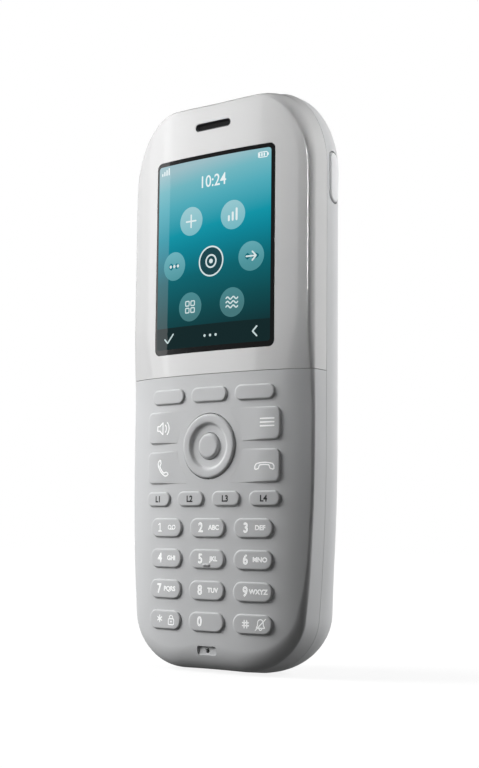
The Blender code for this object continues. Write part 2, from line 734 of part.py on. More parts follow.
def make_keys():
    """All sliding keys. Returns the openings that they need."""
    openings = []
    names = (("dial_key_star", "dial_key_0", "dial_key_hash"),
             ("dial_key_7", "dial_key_8", "dial_key_9"),
             ("dial_key_4", "dial_key_5", "dial_key_6"),
             ("dial_key_1", "dial_key_2", "dial_key_3"))
    for row, row_names in enumerate(names):
        z = DIAL_BOTTOM + DIAL_KEY_HEIGHT / 2 + row * DIAL_PITCH_Z
        for column, name in zip((-1, 0, 1), row_names):
            x = column * DIAL_PITCH_X
            openings.append(pill_key(name, x, z, DIAL_KEY_WIDTH, DIAL_KEY_HEIGHT, DIAL_KEY_CORNER))
    z = LINE_BOTTOM + LINE_KEY_HEIGHT / 2
    for number in range(4):
        x = (number - 1.5) * (LINE_KEY_WIDTH + LINE_SPACE_X)
        name = "line_key_%d" % (number + 1)
        openings.append(pill_key(name, x, z, LINE_KEY_WIDTH, LINE_KEY_HEIGHT, LINE_KEY_CORNER))
    z = SOFT_BOTTOM + SOFT_KEY_HEIGHT / 2
    for column, name in zip((-1, 0, 1), ("left", "middle", "right")):
        x = column * (SOFT_KEY_WIDTH + SOFT_SPACE_X)
        name = "soft_key_" + name
        openings.append(pill_key(name, x, z, SOFT_KEY_WIDTH, SOFT_KEY_HEIGHT, SOFT_KEY_CORNER))
    for name, side, level in (("speaker_key", -1, 1), ("call_key", -1, -1),
                              ("menu_key", 1, 1), ("end_key", 1, -1)):
        openings.append(pad_key(name, side, level))
    openings.append(("nav", circle(0, NAV_HEIGHT, NAV_RADIUS + GAP)))
    return openings


def nav_flange():
    """Front and back depths of the ring's flange, which has room to rock."""
    front = FRONT_WALL + ROCK_CLEARANCE
    return front, front + FLANGE_THICKNESS


def make_nav():
    """Navigation ring, the plate that it rocks on and the select key through both."""
    front, back = nav_flange()
    hole = SELECT_RADIUS + GAP
    middle = (NAV_RADIUS + NAV_DISH_RADIUS) / 2
    profile = [(hole, back),
               (hole, NAV_DISH_DEPTH),
               (NAV_DISH_RADIUS - NAV_RIM_HEIGHT, NAV_DISH_DEPTH),
               (middle - NAV_RIM_HEIGHT, -NAV_RIM_HEIGHT),
               (middle + NAV_RIM_HEIGHT, -NAV_RIM_HEIGHT),
               (NAV_RADIUS, 0.0),
               (NAV_RADIUS, front),
               (NAV_RADIUS + FLANGE_REACH, front),
               (NAV_RADIUS + FLANGE_REACH, back)]
    place = (0.0, back, NAV_HEIGHT)
    turned("nav_ring", profile, 0, NAV_HEIGHT, matte_plastic(), origin=place, closed=True)
    plate_front = back + KEY_TRAVEL
    plate_back = plate_front + ACTUATOR_THICKNESS
    flange = SELECT_RADIUS + SELECT_FLANGE_REACH
    profile = [(flange + GAP, plate_front), (flange + GAP, plate_back),
               (NAV_RADIUS + FLANGE_REACH, plate_back), (NAV_RADIUS + FLANGE_REACH, plate_front)]
    turned("nav_actuator", profile, 0, NAV_HEIGHT, dark_plastic(), origin=place, closed=True)
    face = NAV_DISH_DEPTH - KEY_PROUD
    select_back = BOARD_FRONT - KEY_TRAVEL - GAP
    profile = [(flange, select_back), (flange, plate_front), (SELECT_RADIUS, plate_front),
               (SELECT_RADIUS, face + KEY_EDGE), (SELECT_RADIUS - KEY_EDGE, face)]
    turned("select_key", profile, 0, NAV_HEIGHT, matte_plastic(), origin=place)


def make_display_lens():
    """Clear window whose front follows the crown of the cover."""
    half = SCREEN_WIDTH / 2
    across = [half - SCREEN_WIDTH * i / LENS_STEPS for i in range(LENS_STEPS + 1)]
    rings = []
    for z in (SCREEN_BOTTOM, SCREEN_TOP):
        section = [(-half, FRONT_WALL, z), (half, FRONT_WALL, z)]
        rings.append(section + [(x, crown(x, SCREEN_TOP), z) for x in across])
    loft("display_lens", rings, material("clear window", (0.02, 0.05, 0.06, 1.0), 0.05))


def lcd_range(grow):
    """Half width, lower and upper ends of the display module, grown by a clearance."""
    margin = LCD_MARGIN + grow
    return SCREEN_WIDTH / 2 + margin, SCREEN_BOTTOM - margin, SCREEN_TOP + margin


def make_lcd():
    """Display module and the frame that locates it between the cover and the board."""
    front = FRONT_WALL + GAP
    back = BOARD_FRONT - GAP
    half, low, high = lcd_range(0.0)
    block("lcd_module", (-half, half), (front, back), (low, high), dark_plastic())
    rings = []
    for grow, depth in ((GAP, front), (GAP + LCD_HOLDER_WALL, front),
                        (GAP + LCD_HOLDER_WALL, back), (GAP, back)):
        half, low, high = lcd_range(grow)
        rings.append([(x, depth, z) for x, z in rectangle(-half, half, low, high)])
    loft("lcd_holder", rings, material("white plastic", (0.8, 0.8, 0.8, 1.0), 0.5), closed=True)


def make_earpiece():
    """Insert in the slot and the receiver behind it."""
    width = SLOT_WIDTH - 2 * GAP
    height = SLOT_HEIGHT - 2 * GAP
    loop = slot_loop(0, SLOT_CENTRE, width, height)
    prism("earpiece_mesh", loop, MESH_RECESS, FRONT_WALL, dark_plastic())
    half = RECEIVER_WIDTH / 2
    z_range = (SLOT_CENTRE - RECEIVER_HEIGHT / 2, SLOT_CENTRE + RECEIVER_HEIGHT / 2)
    front = FRONT_WALL + GAP
    block("earpiece_receiver", (-half, half), (front, front + RECEIVER_THICKNESS), z_range, steel())


def make_microphone():
    """Microphone on the board's foot and the soft boot that joins it to the port."""
    mic_front = BOARD_FRONT - GAP - MIC_THICKNESS
    x_range = (-MIC_WIDTH / 2, MIC_WIDTH / 2)
    z_range = (MIC_HEIGHT - MIC_LENGTH / 2, MIC_HEIGHT + MIC_LENGTH / 2)
    block("microphone", x_range, (mic_front, BOARD_FRONT - GAP), z_range, bright_metal())
    outer = circle(0, MIC_HEIGHT, MIC_LENGTH / 2 + MIC_BOOT_RIM, SMALL_ROUND_STEPS)
    inner = circle(0, MIC_HEIGHT, MIC_PORT_RADIUS, SMALL_ROUND_STEPS)
    front = FRONT_WALL + GAP
    back = mic_front - GAP
    corners = ((inner, front), (outer, front), (outer, back), (inner, back))
    rings = [[(x, depth, z) for x, z in loop] for loop, depth in corners]
    loft("microphone_boot", rings, rubber(), closed=True)


def board_half_width():
    return HALF_WIDTH - BOARD_SIDE_GAP


def board_top():
    return SLOT_CENTRE - RECEIVER_HEIGHT / 2 - GAP


def make_board():
    """Main board, narrowed at its foot between the lower screw posts."""
    wide = board_half_width()
    narrow = BOTTOM_BOSS_X - BOSS_RADIUS - GAP
    low = SIDE_WALL + GAP
    shoulder = BOTTOM_BOSS_HEIGHT + BOSS_RADIUS + GAP
    loop = [(-narrow, low), (narrow, low), (narrow, shoulder), (wide, shoulder),
            (wide, board_top()), (-wide, board_top()), (-wide, shoulder), (-narrow, shoulder)]
    finish = material("green circuit board", (0.02, 0.16, 0.07, 1.0), 0.45)
    prism("main_board", loop, BOARD_FRONT, BOARD_BACK, finish)


def make_keypad_mat():
    """Silicone mat with the switch domes, open round the navigation plate."""
    half = PAD_OUTER_X
    low = DIAL_BOTTOM - FLANGE_REACH
    high = SOFT_TOP + FLANGE_REACH
    mat = block("keypad_mat", (-half, half), (MAT_FRONT, MAT_BACK), (low, high), rubber())
    hole = circle(0, NAV_HEIGHT, NAV_RADIUS + FLANGE_REACH + ROCK_CLEARANCE)
    cut(mat, prism("mat_opening", hole, 0, BEYOND, rubber()))


def make_speaker():
    """Loudspeaker against the grille of the back."""
    back = BACK_INSIDE - GAP
    loop = circle(0, speaker_height(), SPEAKER_RADIUS)
    prism("loudspeaker", loop, back - SPEAKER_THICKNESS, back, dark_plastic())


def make_board_parts():
    """Vibration motor, antenna and battery contacts behind the board."""
    front = BOARD_BACK + GAP
    z = SEAM_HEIGHT + SEAM_TO_SCREEN + MOTOR_RADIUS
    x = -board_half_width() + MOTOR_RADIUS + GAP
    loop = circle(x, z, MOTOR_RADIUS, ROUND_STEPS)
    prism("vibration_motor", loop, front, front + MOTOR_THICKNESS, steel())
    half = ANTENNA_WIDTH / 2
    z_range = (board_top() - ANTENNA_HEIGHT, board_top() - GAP)
    block("antenna", (-half, half), (front, front + ANTENNA_THICKNESS), z_range, bright_metal())
    x_range, z_range = contact_block_place(0.0)
    block("battery_contacts", x_range, (front, FLOOR_BACK), z_range, dark_plastic())


def contact_block_place(grow):
    """X and Z extent of the battery contact block, grown by a clearance."""
    half = CONTACT_BLOCK_WIDTH / 2 + grow
    high = BAY_HEIGHT + BATTERY_LENGTH - GAP
    return (-half, half), (high - CONTACT_BLOCK_HEIGHT - grow, high + grow)


def make_battery():
    """Battery pack in its bay and the door that closes it, hooked in by a tongue."""
    half = BATTERY_WIDTH / 2
    low = BAY_HEIGHT + GAP
    finish = material("battery wrap", (0.06, 0.07, 0.09, 1.0), 0.4)
    block("battery_pack", (-half, half), (BATTERY_FRONT, BATTERY_BACK), (low, low + BATTERY_LENGTH), finish)
    loop = rectangle(*door_rectangle(0.0))
    door = prism("battery_door", loop, DOOR_FRONT, DEPTH, matte_plastic())
    half = TONGUE_WIDTH / 2
    low = door_rectangle(0.0)[2]
    depths = (DOOR_FRONT, DOOR_FRONT + TONGUE_THICKNESS)
    z_range = (low - TONGUE_LENGTH, low + GAP)
    add(door, block("door_tongue", (-half, half), depths, z_range, matte_plastic()))


def charge_place(sign, grow):
    """X and depth extent of a charging contact, grown by a clearance."""
    middle = (BACK_RIM + FLOOR_FRONT) / 2
    half = CHARGE_WIDTH / 2 + grow
    depths = (middle - CHARGE_THICKNESS / 2 - grow, middle + CHARGE_THICKNESS / 2 + grow)
    return (sign * CHARGE_OFFSET - half, sign * CHARGE_OFFSET + half), depths


def make_charge_contacts():
    """Charging contacts through the lower wall, headed inside it."""
    for sign, name in ((-1, "charge_contact_left"), (1, "charge_contact_right")):
        x_range, depths = charge_place(sign, 0.0)
        wide, _ = charge_place(sign, CHARGE_FLANGE + GAP)
        head = SIDE_WALL + GAP
        rings = []
        levels = ((x_range, CHARGE_RECESS), (x_range, head), (wide, head), (wide, head + CHARGE_FLANGE))
        for span, z in levels:
            rings.append([(span[0], depths[0], z), (span[1], depths[0], z),
                          (span[1], depths[1], z), (span[0], depths[1], z)])
        loft(name, rings, bright_metal())


def make_seal():
    """Soft seal inside the joint between the front and rear shells."""
    depths = (PARTING_DEPTH - SEAL_THICKNESS / 2, PARTING_DEPTH + SEAL_THICKNESS / 2)
    outer = body_outline(SIDE_WALL + GAP, TOP_WALL_EXTRA)
    inner = body_outline(SIDE_WALL + GAP + SEAL_WIDTH, TOP_WALL_EXTRA)
    corners = ((inner, depths[0]), (outer, depths[0]), (outer, depths[1]), (inner, depths[1]))
    rings = [[(x, depth, z) for x, z in loop] for loop, depth in corners]
    loft("housing_seal", rings, rubber(), closed=True)


def make_screws():
    """Screws from the back into the posts of the front shells."""
    seat = screw_seat() + GAP
    tip = FLOOR_FRONT - GAP - SCREW_BITE
    profile = [(SCREW_RADIUS, tip), (SCREW_RADIUS, seat), (SCREW_HEAD_RADIUS, seat),
               (SCREW_HEAD_RADIUS, seat + SCREW_HEAD_HEIGHT)]
    for number, (x, z) in enumerate(boss_places(), start=1):
        turned("housing_screw_%d" % number, profile, x, z, steel(), SMALL_ROUND_STEPS)


def main():
    clear_scene()
    root = bpy.data.objects.new("handset", None)
    root.location = (0.0, -MIDDLE_DEPTH, 0.0)
    bpy.context.scene.collection.objects.link(root)
    openings = make_keys()
    make_nav()
    make_keypad_cover(openings)
    make_display_cover()
    make_back_housing()
    make_display_lens()
    make_lcd()
    make_earpiece()
    make_microphone()
    make_board()
    make_keypad_mat()
    make_board_parts()
    make_speaker()
    make_side_button()
    make_side_switch()
    make_battery()
    make_charge_contacts()
    make_seal()
    make_screws()
    bpy.context.view_layer.update()


main()
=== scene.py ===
"""Looks of a cordless office handset: smooth shells, keys, printed marks, lit display and studio.

Points are worked out as (x, depth, z): depth runs back from the crest of the front face, and
place() turns it into the frame's y. Sizes are in metres.
"""

import json
import math
from functools import partial

import bmesh
import bpy
import numpy as np
from mathutils import Matrix, Vector

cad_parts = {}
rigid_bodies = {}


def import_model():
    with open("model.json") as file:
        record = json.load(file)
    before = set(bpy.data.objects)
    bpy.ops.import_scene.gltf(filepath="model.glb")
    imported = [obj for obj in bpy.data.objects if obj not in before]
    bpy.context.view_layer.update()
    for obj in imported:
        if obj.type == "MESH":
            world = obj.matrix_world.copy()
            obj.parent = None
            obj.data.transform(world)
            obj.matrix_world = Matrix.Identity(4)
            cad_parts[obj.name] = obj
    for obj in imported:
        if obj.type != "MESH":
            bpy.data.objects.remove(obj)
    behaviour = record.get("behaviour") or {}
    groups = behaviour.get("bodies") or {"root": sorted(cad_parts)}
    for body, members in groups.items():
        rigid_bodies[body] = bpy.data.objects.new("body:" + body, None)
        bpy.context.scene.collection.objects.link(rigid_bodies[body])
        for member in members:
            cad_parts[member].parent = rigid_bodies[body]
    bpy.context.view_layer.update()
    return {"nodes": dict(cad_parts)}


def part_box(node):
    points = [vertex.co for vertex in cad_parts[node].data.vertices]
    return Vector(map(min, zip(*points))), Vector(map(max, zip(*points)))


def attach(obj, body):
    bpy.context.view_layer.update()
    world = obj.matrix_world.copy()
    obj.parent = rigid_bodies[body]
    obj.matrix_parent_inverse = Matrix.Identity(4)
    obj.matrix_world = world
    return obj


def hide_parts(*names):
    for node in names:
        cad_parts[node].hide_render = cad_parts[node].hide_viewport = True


bl_info = {
    "name": "Cordless Handset Looks",
    "version": (1, 0, 0),
    "blender": (4, 5, 0),
    "location": "View3D > Sidebar > Handset",
    "description": "Shells, keys, display and studio of a cordless office handset",
    "category": "Object",
}

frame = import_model()

# Mesh building
SHARP_ANGLE = math.radians(35)
WELD = 2e-7

# Body form: crown and slope pairs are (keypad half, display half), corners are (width, height)
HALF_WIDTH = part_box("back_housing")[1].x
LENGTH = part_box("back_housing")[1].z
CREST_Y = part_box("display_lens")[0].y
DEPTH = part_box("back_housing")[1].y - CREST_Y
SPINE = (HALF_WIDTH, LENGTH - HALF_WIDTH)
COVER_JOINT = 0.0003
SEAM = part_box("display_cover")[0].z - COVER_JOINT / 2
PARTING = 0.0100
BOTTOM_CORNER = (0.0182, 0.0136)
TOP_CORNER = (0.0149, 0.0197)
TOP_BOW = 0.0021
TAPER = 0.0033
TAPER_HEIGHT = 0.057
CROWN_DROPS = (0.0037, 0.0029)
CROWN_POWERS = (2.6, 2.43)
CROWN_RANGE = (0.066, 0.090)
SLOPE_WIDTH = (0.0090, 0.0035)
SLOPE_DROP = (0.0009, 0.00043)
SLOPE_POWER = (2.0, 1.0)

# Edges and walls: four sizes are (keypad side, display side, top, bottom), three (side, top, bottom)
EDGE_REACH = (0.0007, 0.0013, 0.0028, 0.0068)
EDGE_ROUND = (0.0051, 0.0053, 0.0097, 0.0035)
EDGE_POWER = (1.0, 1.28, 1.0)
EDGE_DRAFT = (0.0, 0.0009, 0.0007)
BACK_REACH = (0.0098, 0.0109, 0.0051)
BACK_ROUND = (0.0109, 0.0083, 0.0109)
SIDE_WALL = (0.0024, 0.0034, 0.0024)
SHELL_WALL = 0.0016

# Openings of the shells: sizes are (width, height, corner), steps (inset, height), lip (growth, depth)
TOOL_CORNER = 0.001
MIC_RECESS = (0.0060, 0.0022, 0.0006)
MIC_DEPTH = 0.0006
MIC_HOLE = 0.0006
WINDOW_CORNER = 0.0016
WINDOW_GAP = 0.00005
WINDOW_DEPTH = 0.0026
SLOT_GAP = 0.0003
SLOT_ROUND = 0.49
SLOT_LIP = ((0.00028, 0.00012), (0.00028, 0.0011), (-0.00006, 0.0011), (-0.00006, 0.00045),
            (0.00002, 0.00022), (0.00014, 0.0001))
HOLLOW_DEPTH = 0.0134
BAY_GAP = 0.0003
GRILLE_PITCH = 0.0026
GRILLE_SLOT = (0.0140, 0.0012)
GRILLE_FLOOR = 0.0004
SCREW_WELL = 0.0022
SCREW_HEAD = 0.0017
CONTACT_SLOT = (0.0040, 0.0070, 0.0002)
CONTACT_GAP = 0.0003
DOOR_TONGUE = 0.0012
DOOR_CORNER = 0.0022
DOOR_EDGE = 0.0004
GRIP_DROP = 0.0085
GRIP = (0.0170, 0.0078, 0.0038)
GRIP_STEPS = ((0.0010, 0.0007), (0.0004, 0.0005), (0.0, 0.0), (0.0, -0.001))
RIB = (0.0120, 0.0007, 0.00034)
RIB_STEPS = ((0.0, 0.0009), (0.0, 0.0004), (0.0001, 0.00028), (0.00024, 0.00022))
RIB_PITCH = 0.0015
RIB_TAPER = 0.0012
BUTTON_EDGE = 0.0006
BUTTON_SUNK = 0.0003
BUTTON_DEPTH = 0.0030
SCREWS = tuple("housing_screw_%d" % number for number in range(1, 5))
CONTACTS = ("charge_contact_left", "charge_contact_right")

# Keys: FLANGE is the hidden border of a solid key, PILL the corner share of a nearly round end
FLANGE = 0.0006
PILL = 0.48
BEVEL_SHARE = 0.9
LEAST_BEVEL = 1e-5
DIAL_CORNER = 0.0024
LINE_CORNER = 0.0019
SOFT_CORNER = 0.0018
PAD_RISE = 0.0005
PAD_SPLIT = 0.0021
PAD_INNER = 0.0070
PAD_CORNER = 0.0018
PAD_FADE = (0.0095, 0.0185)
NAV_TO_PAD = 0.0023
NAV_BEVEL = 0.0007
NAV_RISE = 0.00058
NAV_EDGE = 0.00012
NAV_WALL = 0.0022
NAV_LIP = (0.00032, 0.0003, 0.0001)
NAV_DISH = ((0.0051, 0.0003), (0.0054, 0.00026), (0.0056, 0.00012), (0.0058, -0.00018), (0.0060, -0.00034),
            (0.0062, -0.0004), (0.0066, -0.00043))
MIDDLE_BAR = (0.0023, 0.0007, 0.00033)
MIDDLE_BAR_DROP = 0.0015
MIDDLE_BAR_STEPS = ((0.0, -0.0001), (0.0, 0.00008), (0.0001, 0.0002), (0.00025, 0.00025))
SELECT_RADIUS = 0.0033
SELECT_EDGE = 0.0006
SELECT_POWER = 1.48
SELECT_SKIN = 0.0002
SELECT_WALL = 0.0025

# Picture and studio
PHOTO = (479, 768)
MIDDLE = (0, 0, 0.075)
ROOM_FADE = (0.7, 1.0)
ROOM_LEVEL = 0.10
FLOOR_SHINE = 0.3
FLOOR_FADE = (0.04, 0.20)
FLOOR_NEAR = 0.84
FLOOR_WHITE = 1.03
FLOOR_HALF = 2
FLOOR_DROP = 0.0001


# Plain working functions


def linear(code):
    """Linear RGBA of an sRGB hex value: c/12.92 below 0.04045, else ((c+0.055)/1.055)^2.4."""
    parts = np.array([int(code[i:i + 2], 16) for i in (1, 3, 5)]) / 255
    lit = np.where(parts <= 0.04045, parts / 12.92, ((parts + 0.055) / 1.055) ** 2.4)
    return (*lit.tolist(), 1.0)


def place(points):
    """(x, depth, z) to the frame: y is the crest's y plus depth."""
    placed = np.array(points, dtype=np.float64)
    placed[..., 1] += CREST_Y
    return placed


def grid_faces(rows, columns, around):
    """Quads of a rows x columns grid of points, joined end to start where around is true."""
    last = columns if around else columns - 1
    row, column = np.meshgrid(np.arange(rows - 1), np.arange(last), indexing="ij")
    following = (column + 1) % columns
    corners = (row * columns + column, row * columns + following,
               (row + 1) * columns + following, (row + 1) * columns + column)
    return np.stack([corner.ravel() for corner in corners], axis=1)


def mesh_piece(name, parts, finish):
    """One object from (points, faces) parts: doubles merged, faces outward, sharp edges by angle."""
    points = np.concatenate([part[0].reshape(-1, 3) for part in parts])
    faces = []
    start = 0
    for part_points, part_faces in parts:
        faces += [[corner + start for corner in face] for face in part_faces]
        start += part_points.reshape(-1, 3).shape[0]
    mesh = bpy.data.meshes.new(name)
    mesh.from_pydata(place(points).tolist(), [], faces)
    bm = bmesh.new()
    bm.from_mesh(mesh)
    bmesh.ops.remove_doubles(bm, verts=bm.verts, dist=WELD)
    bmesh.ops.dissolve_degenerate(bm, edges=bm.edges, dist=WELD)
    bmesh.ops.recalc_face_normals(bm, faces=bm.faces)
    bm.to_mesh(mesh)
    bm.free()
    mesh.materials.append(finish)
    mesh.shade_smooth()
    mesh.set_sharp_from_angle(angle=SHARP_ANGLE)
    piece = bpy.data.objects.new(name, mesh)
    bpy.context.scene.collection.objects.link(piece)
    return piece


def loft(rings):
    """Grid part skinned over closed rings of equally many points."""
    points = np.stack(rings)
    return points, grid_faces(points.shape[0], points.shape[1], True)


def capped(rings):
    """Loft whose first and last rings close on their own middles, so that it is one solid."""
    first = np.broadcast_to(rings[0].mean(axis=0), rings[0].shape)
    last = np.broadcast_to(rings[-1].mean(axis=0), rings[-1].shape)
    return loft([first, *rings, last])


def cut(piece, parts):
    """Boolean difference of a piece and a tool made from grid parts; the tool is removed."""
    tool = mesh_piece(piece.name + "_tool", parts, piece.data.materials[0])
    change = piece.modifiers.new("cut", "BOOLEAN")
    change.operation = "DIFFERENCE"
    change.solver = "EXACT"
    change.object = tool
    made = piece.evaluated_get(bpy.context.evaluated_depsgraph_get())
    mesh = bpy.data.meshes.new_from_object(made)
    piece.modifiers.clear()
    old, tool_mesh = piece.data, tool.data
    piece.data = mesh
    mesh.name = piece.name
    bpy.data.meshes.remove(old)
    bpy.data.objects.remove(tool)
    bpy.data.meshes.remove(tool_mesh)
    mesh.shade_smooth()
    mesh.set_sharp_from_angle(angle=SHARP_ANGLE)


def on_body(piece, body, slot, *nodes):
    """Let a piece ride on a body and stand for CAD nodes, which it hides; the slot is not used."""
    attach(piece, body)
    if nodes:
        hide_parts(*nodes)
    return piece


def box_face(node, grow=0.0):
    """Middle x and z, width and height of a node's box seen from the front, with a border added."""
    low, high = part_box(node)
    return (low.x + high.x) / 2, (low.z + high.z) / 2, high.x - low.x + 2 * grow, high.z - low.z + 2 * grow


def box_depths(node):
    """Front and back depth of a node's box, behind the crest."""
    low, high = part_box(node)
    return low.y - CREST_Y, high.y - CREST_Y


def closing(edge, shares, lifted):
    """Rings that shrink a loop on its middle by shares, each lifted by a function."""
    middle = edge.mean(axis=0)
    return [lifted(middle + (edge - middle) * share) for share in shares]


# Body surfaces


def smooth_step(t):
    """3t^2 - 2t^3 between 0 and 1."""
    t = np.clip(t, 0, 1)
    return t * t * (3 - 2 * t)


def crown(x, z):
    """Depth of the front face, drop (|x| / HALF_WIDTH)^p; drop and p change from keypad to display."""
    return from_keypad(CROWN_DROPS, z) * (np.abs(x) / HALF_WIDTH) ** from_keypad(CROWN_POWERS, z)


def from_keypad(sizes, z):
    """Smooth step from a size of the keypad half to one of the display half."""
    low, high = CROWN_RANGE
    return sizes[0] + (sizes[1] - sizes[0]) * smooth_step((z - low) / (high - low))


def outline():
    """Right half of the front outline, lower end to upper end, with elliptic corners.

    Below TAPER_HEIGHT x loses the share TAPER / HALF_WIDTH u^2, u running down; towards the top z loses
    TOP_BOW (x / HALF_WIDTH)^2.
    """
    angle = np.linspace(0, math.pi / 2, 400)
    low_x, low_z = HALF_WIDTH - BOTTOM_CORNER[0], BOTTOM_CORNER[1]
    top_x, top_z = HALF_WIDTH - TOP_CORNER[0], LENGTH - TOP_CORNER[1]
    side = np.linspace(low_z, top_z, 800)[1:-1]
    x = np.concatenate([np.linspace(0, low_x, 100)[:-1], low_x + BOTTOM_CORNER[0] * np.sin(angle),
                        np.full(side.size, HALF_WIDTH), top_x + TOP_CORNER[0] * np.cos(angle),
                        np.linspace(top_x, 0, 100)[1:]])
    z = np.concatenate([np.zeros(99), low_z - BOTTOM_CORNER[1] * np.cos(angle), side,
                        top_z + TOP_CORNER[1] * np.sin(angle), np.full(99, LENGTH)])
    short = np.clip(TAPER_HEIGHT - z, 0, None) / TAPER_HEIGHT
    bow = TOP_BOW * (x / HALF_WIDTH) ** 2 * smooth_step((z - SEAM) / (top_z - SEAM))
    return x * (1 - TAPER / HALF_WIDTH * short ** 2), z - bow


def spokes():
    """Lines from the middle line out to the outline, all round: foot, direction (x, z) and length.

    They fan out over half a turn at each end and are level along the sides.
    """
    end_steps, side_steps = 96, 88
    x, z = outline()
    fan = (np.arange(end_steps) + 0.5) / end_steps * math.pi - math.pi / 2
    level = np.linspace(SPINE[0], SPINE[1], side_steps)
    low_angle = np.arctan2(x, SPINE[0] - z)
    top_angle = np.arctan2(x, z - SPINE[1])
    low = z <= SPINE[0]
    top = z >= SPINE[1]
    low_length = np.interp(np.abs(fan), low_angle[low], np.hypot(x, SPINE[0] - z)[low])
    top_length = np.interp(np.abs(fan), top_angle[top][::-1], np.hypot(x, z - SPINE[1])[top][::-1])
    side_length = np.interp(level, z[(x > HALF_WIDTH / 2)], x[(x > HALF_WIDTH / 2)])
    foot = np.concatenate([np.full(end_steps, SPINE[0]), level, np.full(end_steps, SPINE[1]), level[::-1]])
    across = np.concatenate([np.sin(fan), np.ones(side_steps), np.sin(-fan), -np.ones(side_steps)])
    along = np.concatenate([-np.cos(fan), np.zeros(side_steps), np.cos(fan), np.zeros(side_steps)])
    length = np.concatenate([low_length, side_length, top_length, side_length[::-1]])
    return foot, across, along, length


def by_end(sizes, along):
    """Mix (side, top, bottom) sizes by the square of how far a spoke points up or down."""
    side, top, bottom = sizes
    up, down = np.clip(along, 0, None) ** 2, np.clip(-along, 0, None) ** 2
    return side + (top - side) * up + (bottom - side) * down


def spoke_points(lines, distance, depth):
    """Points at a distance along the spokes, at a depth that may be a function of (x, z)."""
    foot, across, along, _ = lines
    x = across * distance
    z = foot + along * distance
    at = depth(x, z) if callable(depth) else np.broadcast_to(depth, x.shape)
    return np.stack([x, at, z], axis=-1)


def edge_angles(reach, depth, steps):
    """Ellipse angles t whose normals turn by equal steps n: tan t = depth cos n / (reach sin n)."""
    turn = np.linspace(0, math.pi / 2, steps)
    return np.arctan2(depth * np.cos(turn), reach * np.sin(turn))


def front_rings(rim):
    """Rings from the spine over the crowned face, the edge and the wall to the rim, then back inside.

    Near the edge the face drops by a further drop u^q, u running from 0 to 1 over the slope's width.
    Edge at angle t, with c = cos^p t and s = sin^p t: inset is reach (1 - c), and
    depth is round (1 - s) + face s.
    """
    lines = spokes()
    foot, across, along, length = lines
    level = foot + along * length
    width, drop, curve = (from_keypad(sizes, level) for sizes in (SLOPE_WIDTH, SLOPE_DROP, SLOPE_POWER))

    def face(distance):
        near = np.clip(1 - (length - distance) / width, 0, 1)
        return crown(across * distance, foot + along * distance) + drop * (1 - along ** 2) * near ** curve

    reach = by_end((from_keypad(EDGE_REACH[:2], level), *EDGE_REACH[2:]), along)
    depth = by_end((from_keypad(EDGE_ROUND[:2], level), *EDGE_ROUND[2:]), along)
    knee = length - by_end(EDGE_DRAFT, along)
    start = knee - reach
    crease = np.minimum(length - width, start * 0.9)
    slope_shares = np.linspace(0, 1, 9)[1:-1] ** 1.5
    distances = [crease * share for share in np.linspace(0, 1, 18)]
    distances += [crease + (start - crease) * share for share in slope_shares]
    rings = [spoke_points(lines, distance, face(distance)) for distance in distances]
    power = by_end(EDGE_POWER, along)
    angles = [edge_angles(EDGE_REACH[half], EDGE_ROUND[half] - CROWN_DROPS[half], 14) for half in (0, 1)]
    for t in np.unique(np.concatenate(angles).round(6))[::-1]:
        out, flat = abs(math.cos(t)) ** power, math.sin(t) ** power
        distance = knee - reach * (1 - out)
        rings.append(spoke_points(lines, distance, depth * (1 - flat) + face(distance) * flat))
    inner = length - by_end(SIDE_WALL, along)
    rings.append(spoke_points(lines, length, rim))
    rings.append(spoke_points(lines, inner, rim))
    for share in (1.0, 0.75, 0.5, 0.25, 0.0):
        rings.append(spoke_points(lines, inner * share, lambda x, z: crown(x, z) + SHELL_WALL))
    return rings


def back_rings(rim):
    """Rings from the rim along the wall, then over the elliptic back edge to the back.

    Edge at angle t: inset is reach (1 - cos t), depth is DEPTH - round (1 - sin t).
    """
    lines = spokes()
    _, _, along, length = lines
    reach = by_end(BACK_REACH, along)
    depth = by_end(BACK_ROUND, along)
    rings = [spoke_points(lines, length, rim)]
    for t in edge_angles(BACK_REACH[0], BACK_ROUND[0], 22)[::-1]:
        rings.append(spoke_points(lines, length - reach * (1 - math.cos(t)),
                                  DEPTH - depth * (1 - math.sin(t))))
    return rings


def inner_rings(front, back, wall):
    """Straight hollow whose border is the outline drawn in by wall sizes (side, top, bottom)."""
    lines = spokes()
    inside = lines[3] - by_end(wall, lines[2])
    return [spoke_points(lines, inside, front), spoke_points(lines, inside, back)]


# Loops in the front's plane


def arc(x, z, radius, start, end, steps=24):
    """Arc of a circle between two angles in degrees, as (x, z) points."""
    angle = np.radians(np.linspace(start, end, steps))
    return np.stack([x + radius * np.cos(angle), z + radius * np.sin(angle)], axis=1)


def joined(stretches, shares):
    """Loop through stretches of points, with points at shares of each straight side between them."""
    loop = []
    for stretch, following, side in zip(stretches, stretches[1:] + stretches[:1], shares):
        loop += [stretch, stretch[-1] + (following[0] - stretch[-1]) * side]
    return np.concatenate(loop)


def rounded_loop(x, z, width, height, radius, corner=10, side=8):
    """Loop of (x, z) points round a rectangle with arc corners, also spaced along its sides."""
    half_x, half_z = width / 2 - radius, height / 2 - radius
    signs = ((1, 1), (-1, 1), (-1, -1), (1, -1))
    arcs = [arc(sign_x * half_x, sign_z * half_z, radius, quarter * 90, quarter * 90 + 90, corner)
            for quarter, (sign_x, sign_z) in enumerate(signs)]
    return joined(arcs, [np.linspace(0, 1, side + 1)[1:-1, None]] * 4) + (x, z)


def circle_loop(x, z, radius, steps=72):
    """Loop of (x, z) points round a circle."""
    angle = np.arange(steps) / steps * 2 * math.pi
    return np.stack([x + radius * np.cos(angle), z + radius * np.sin(angle)], axis=1)


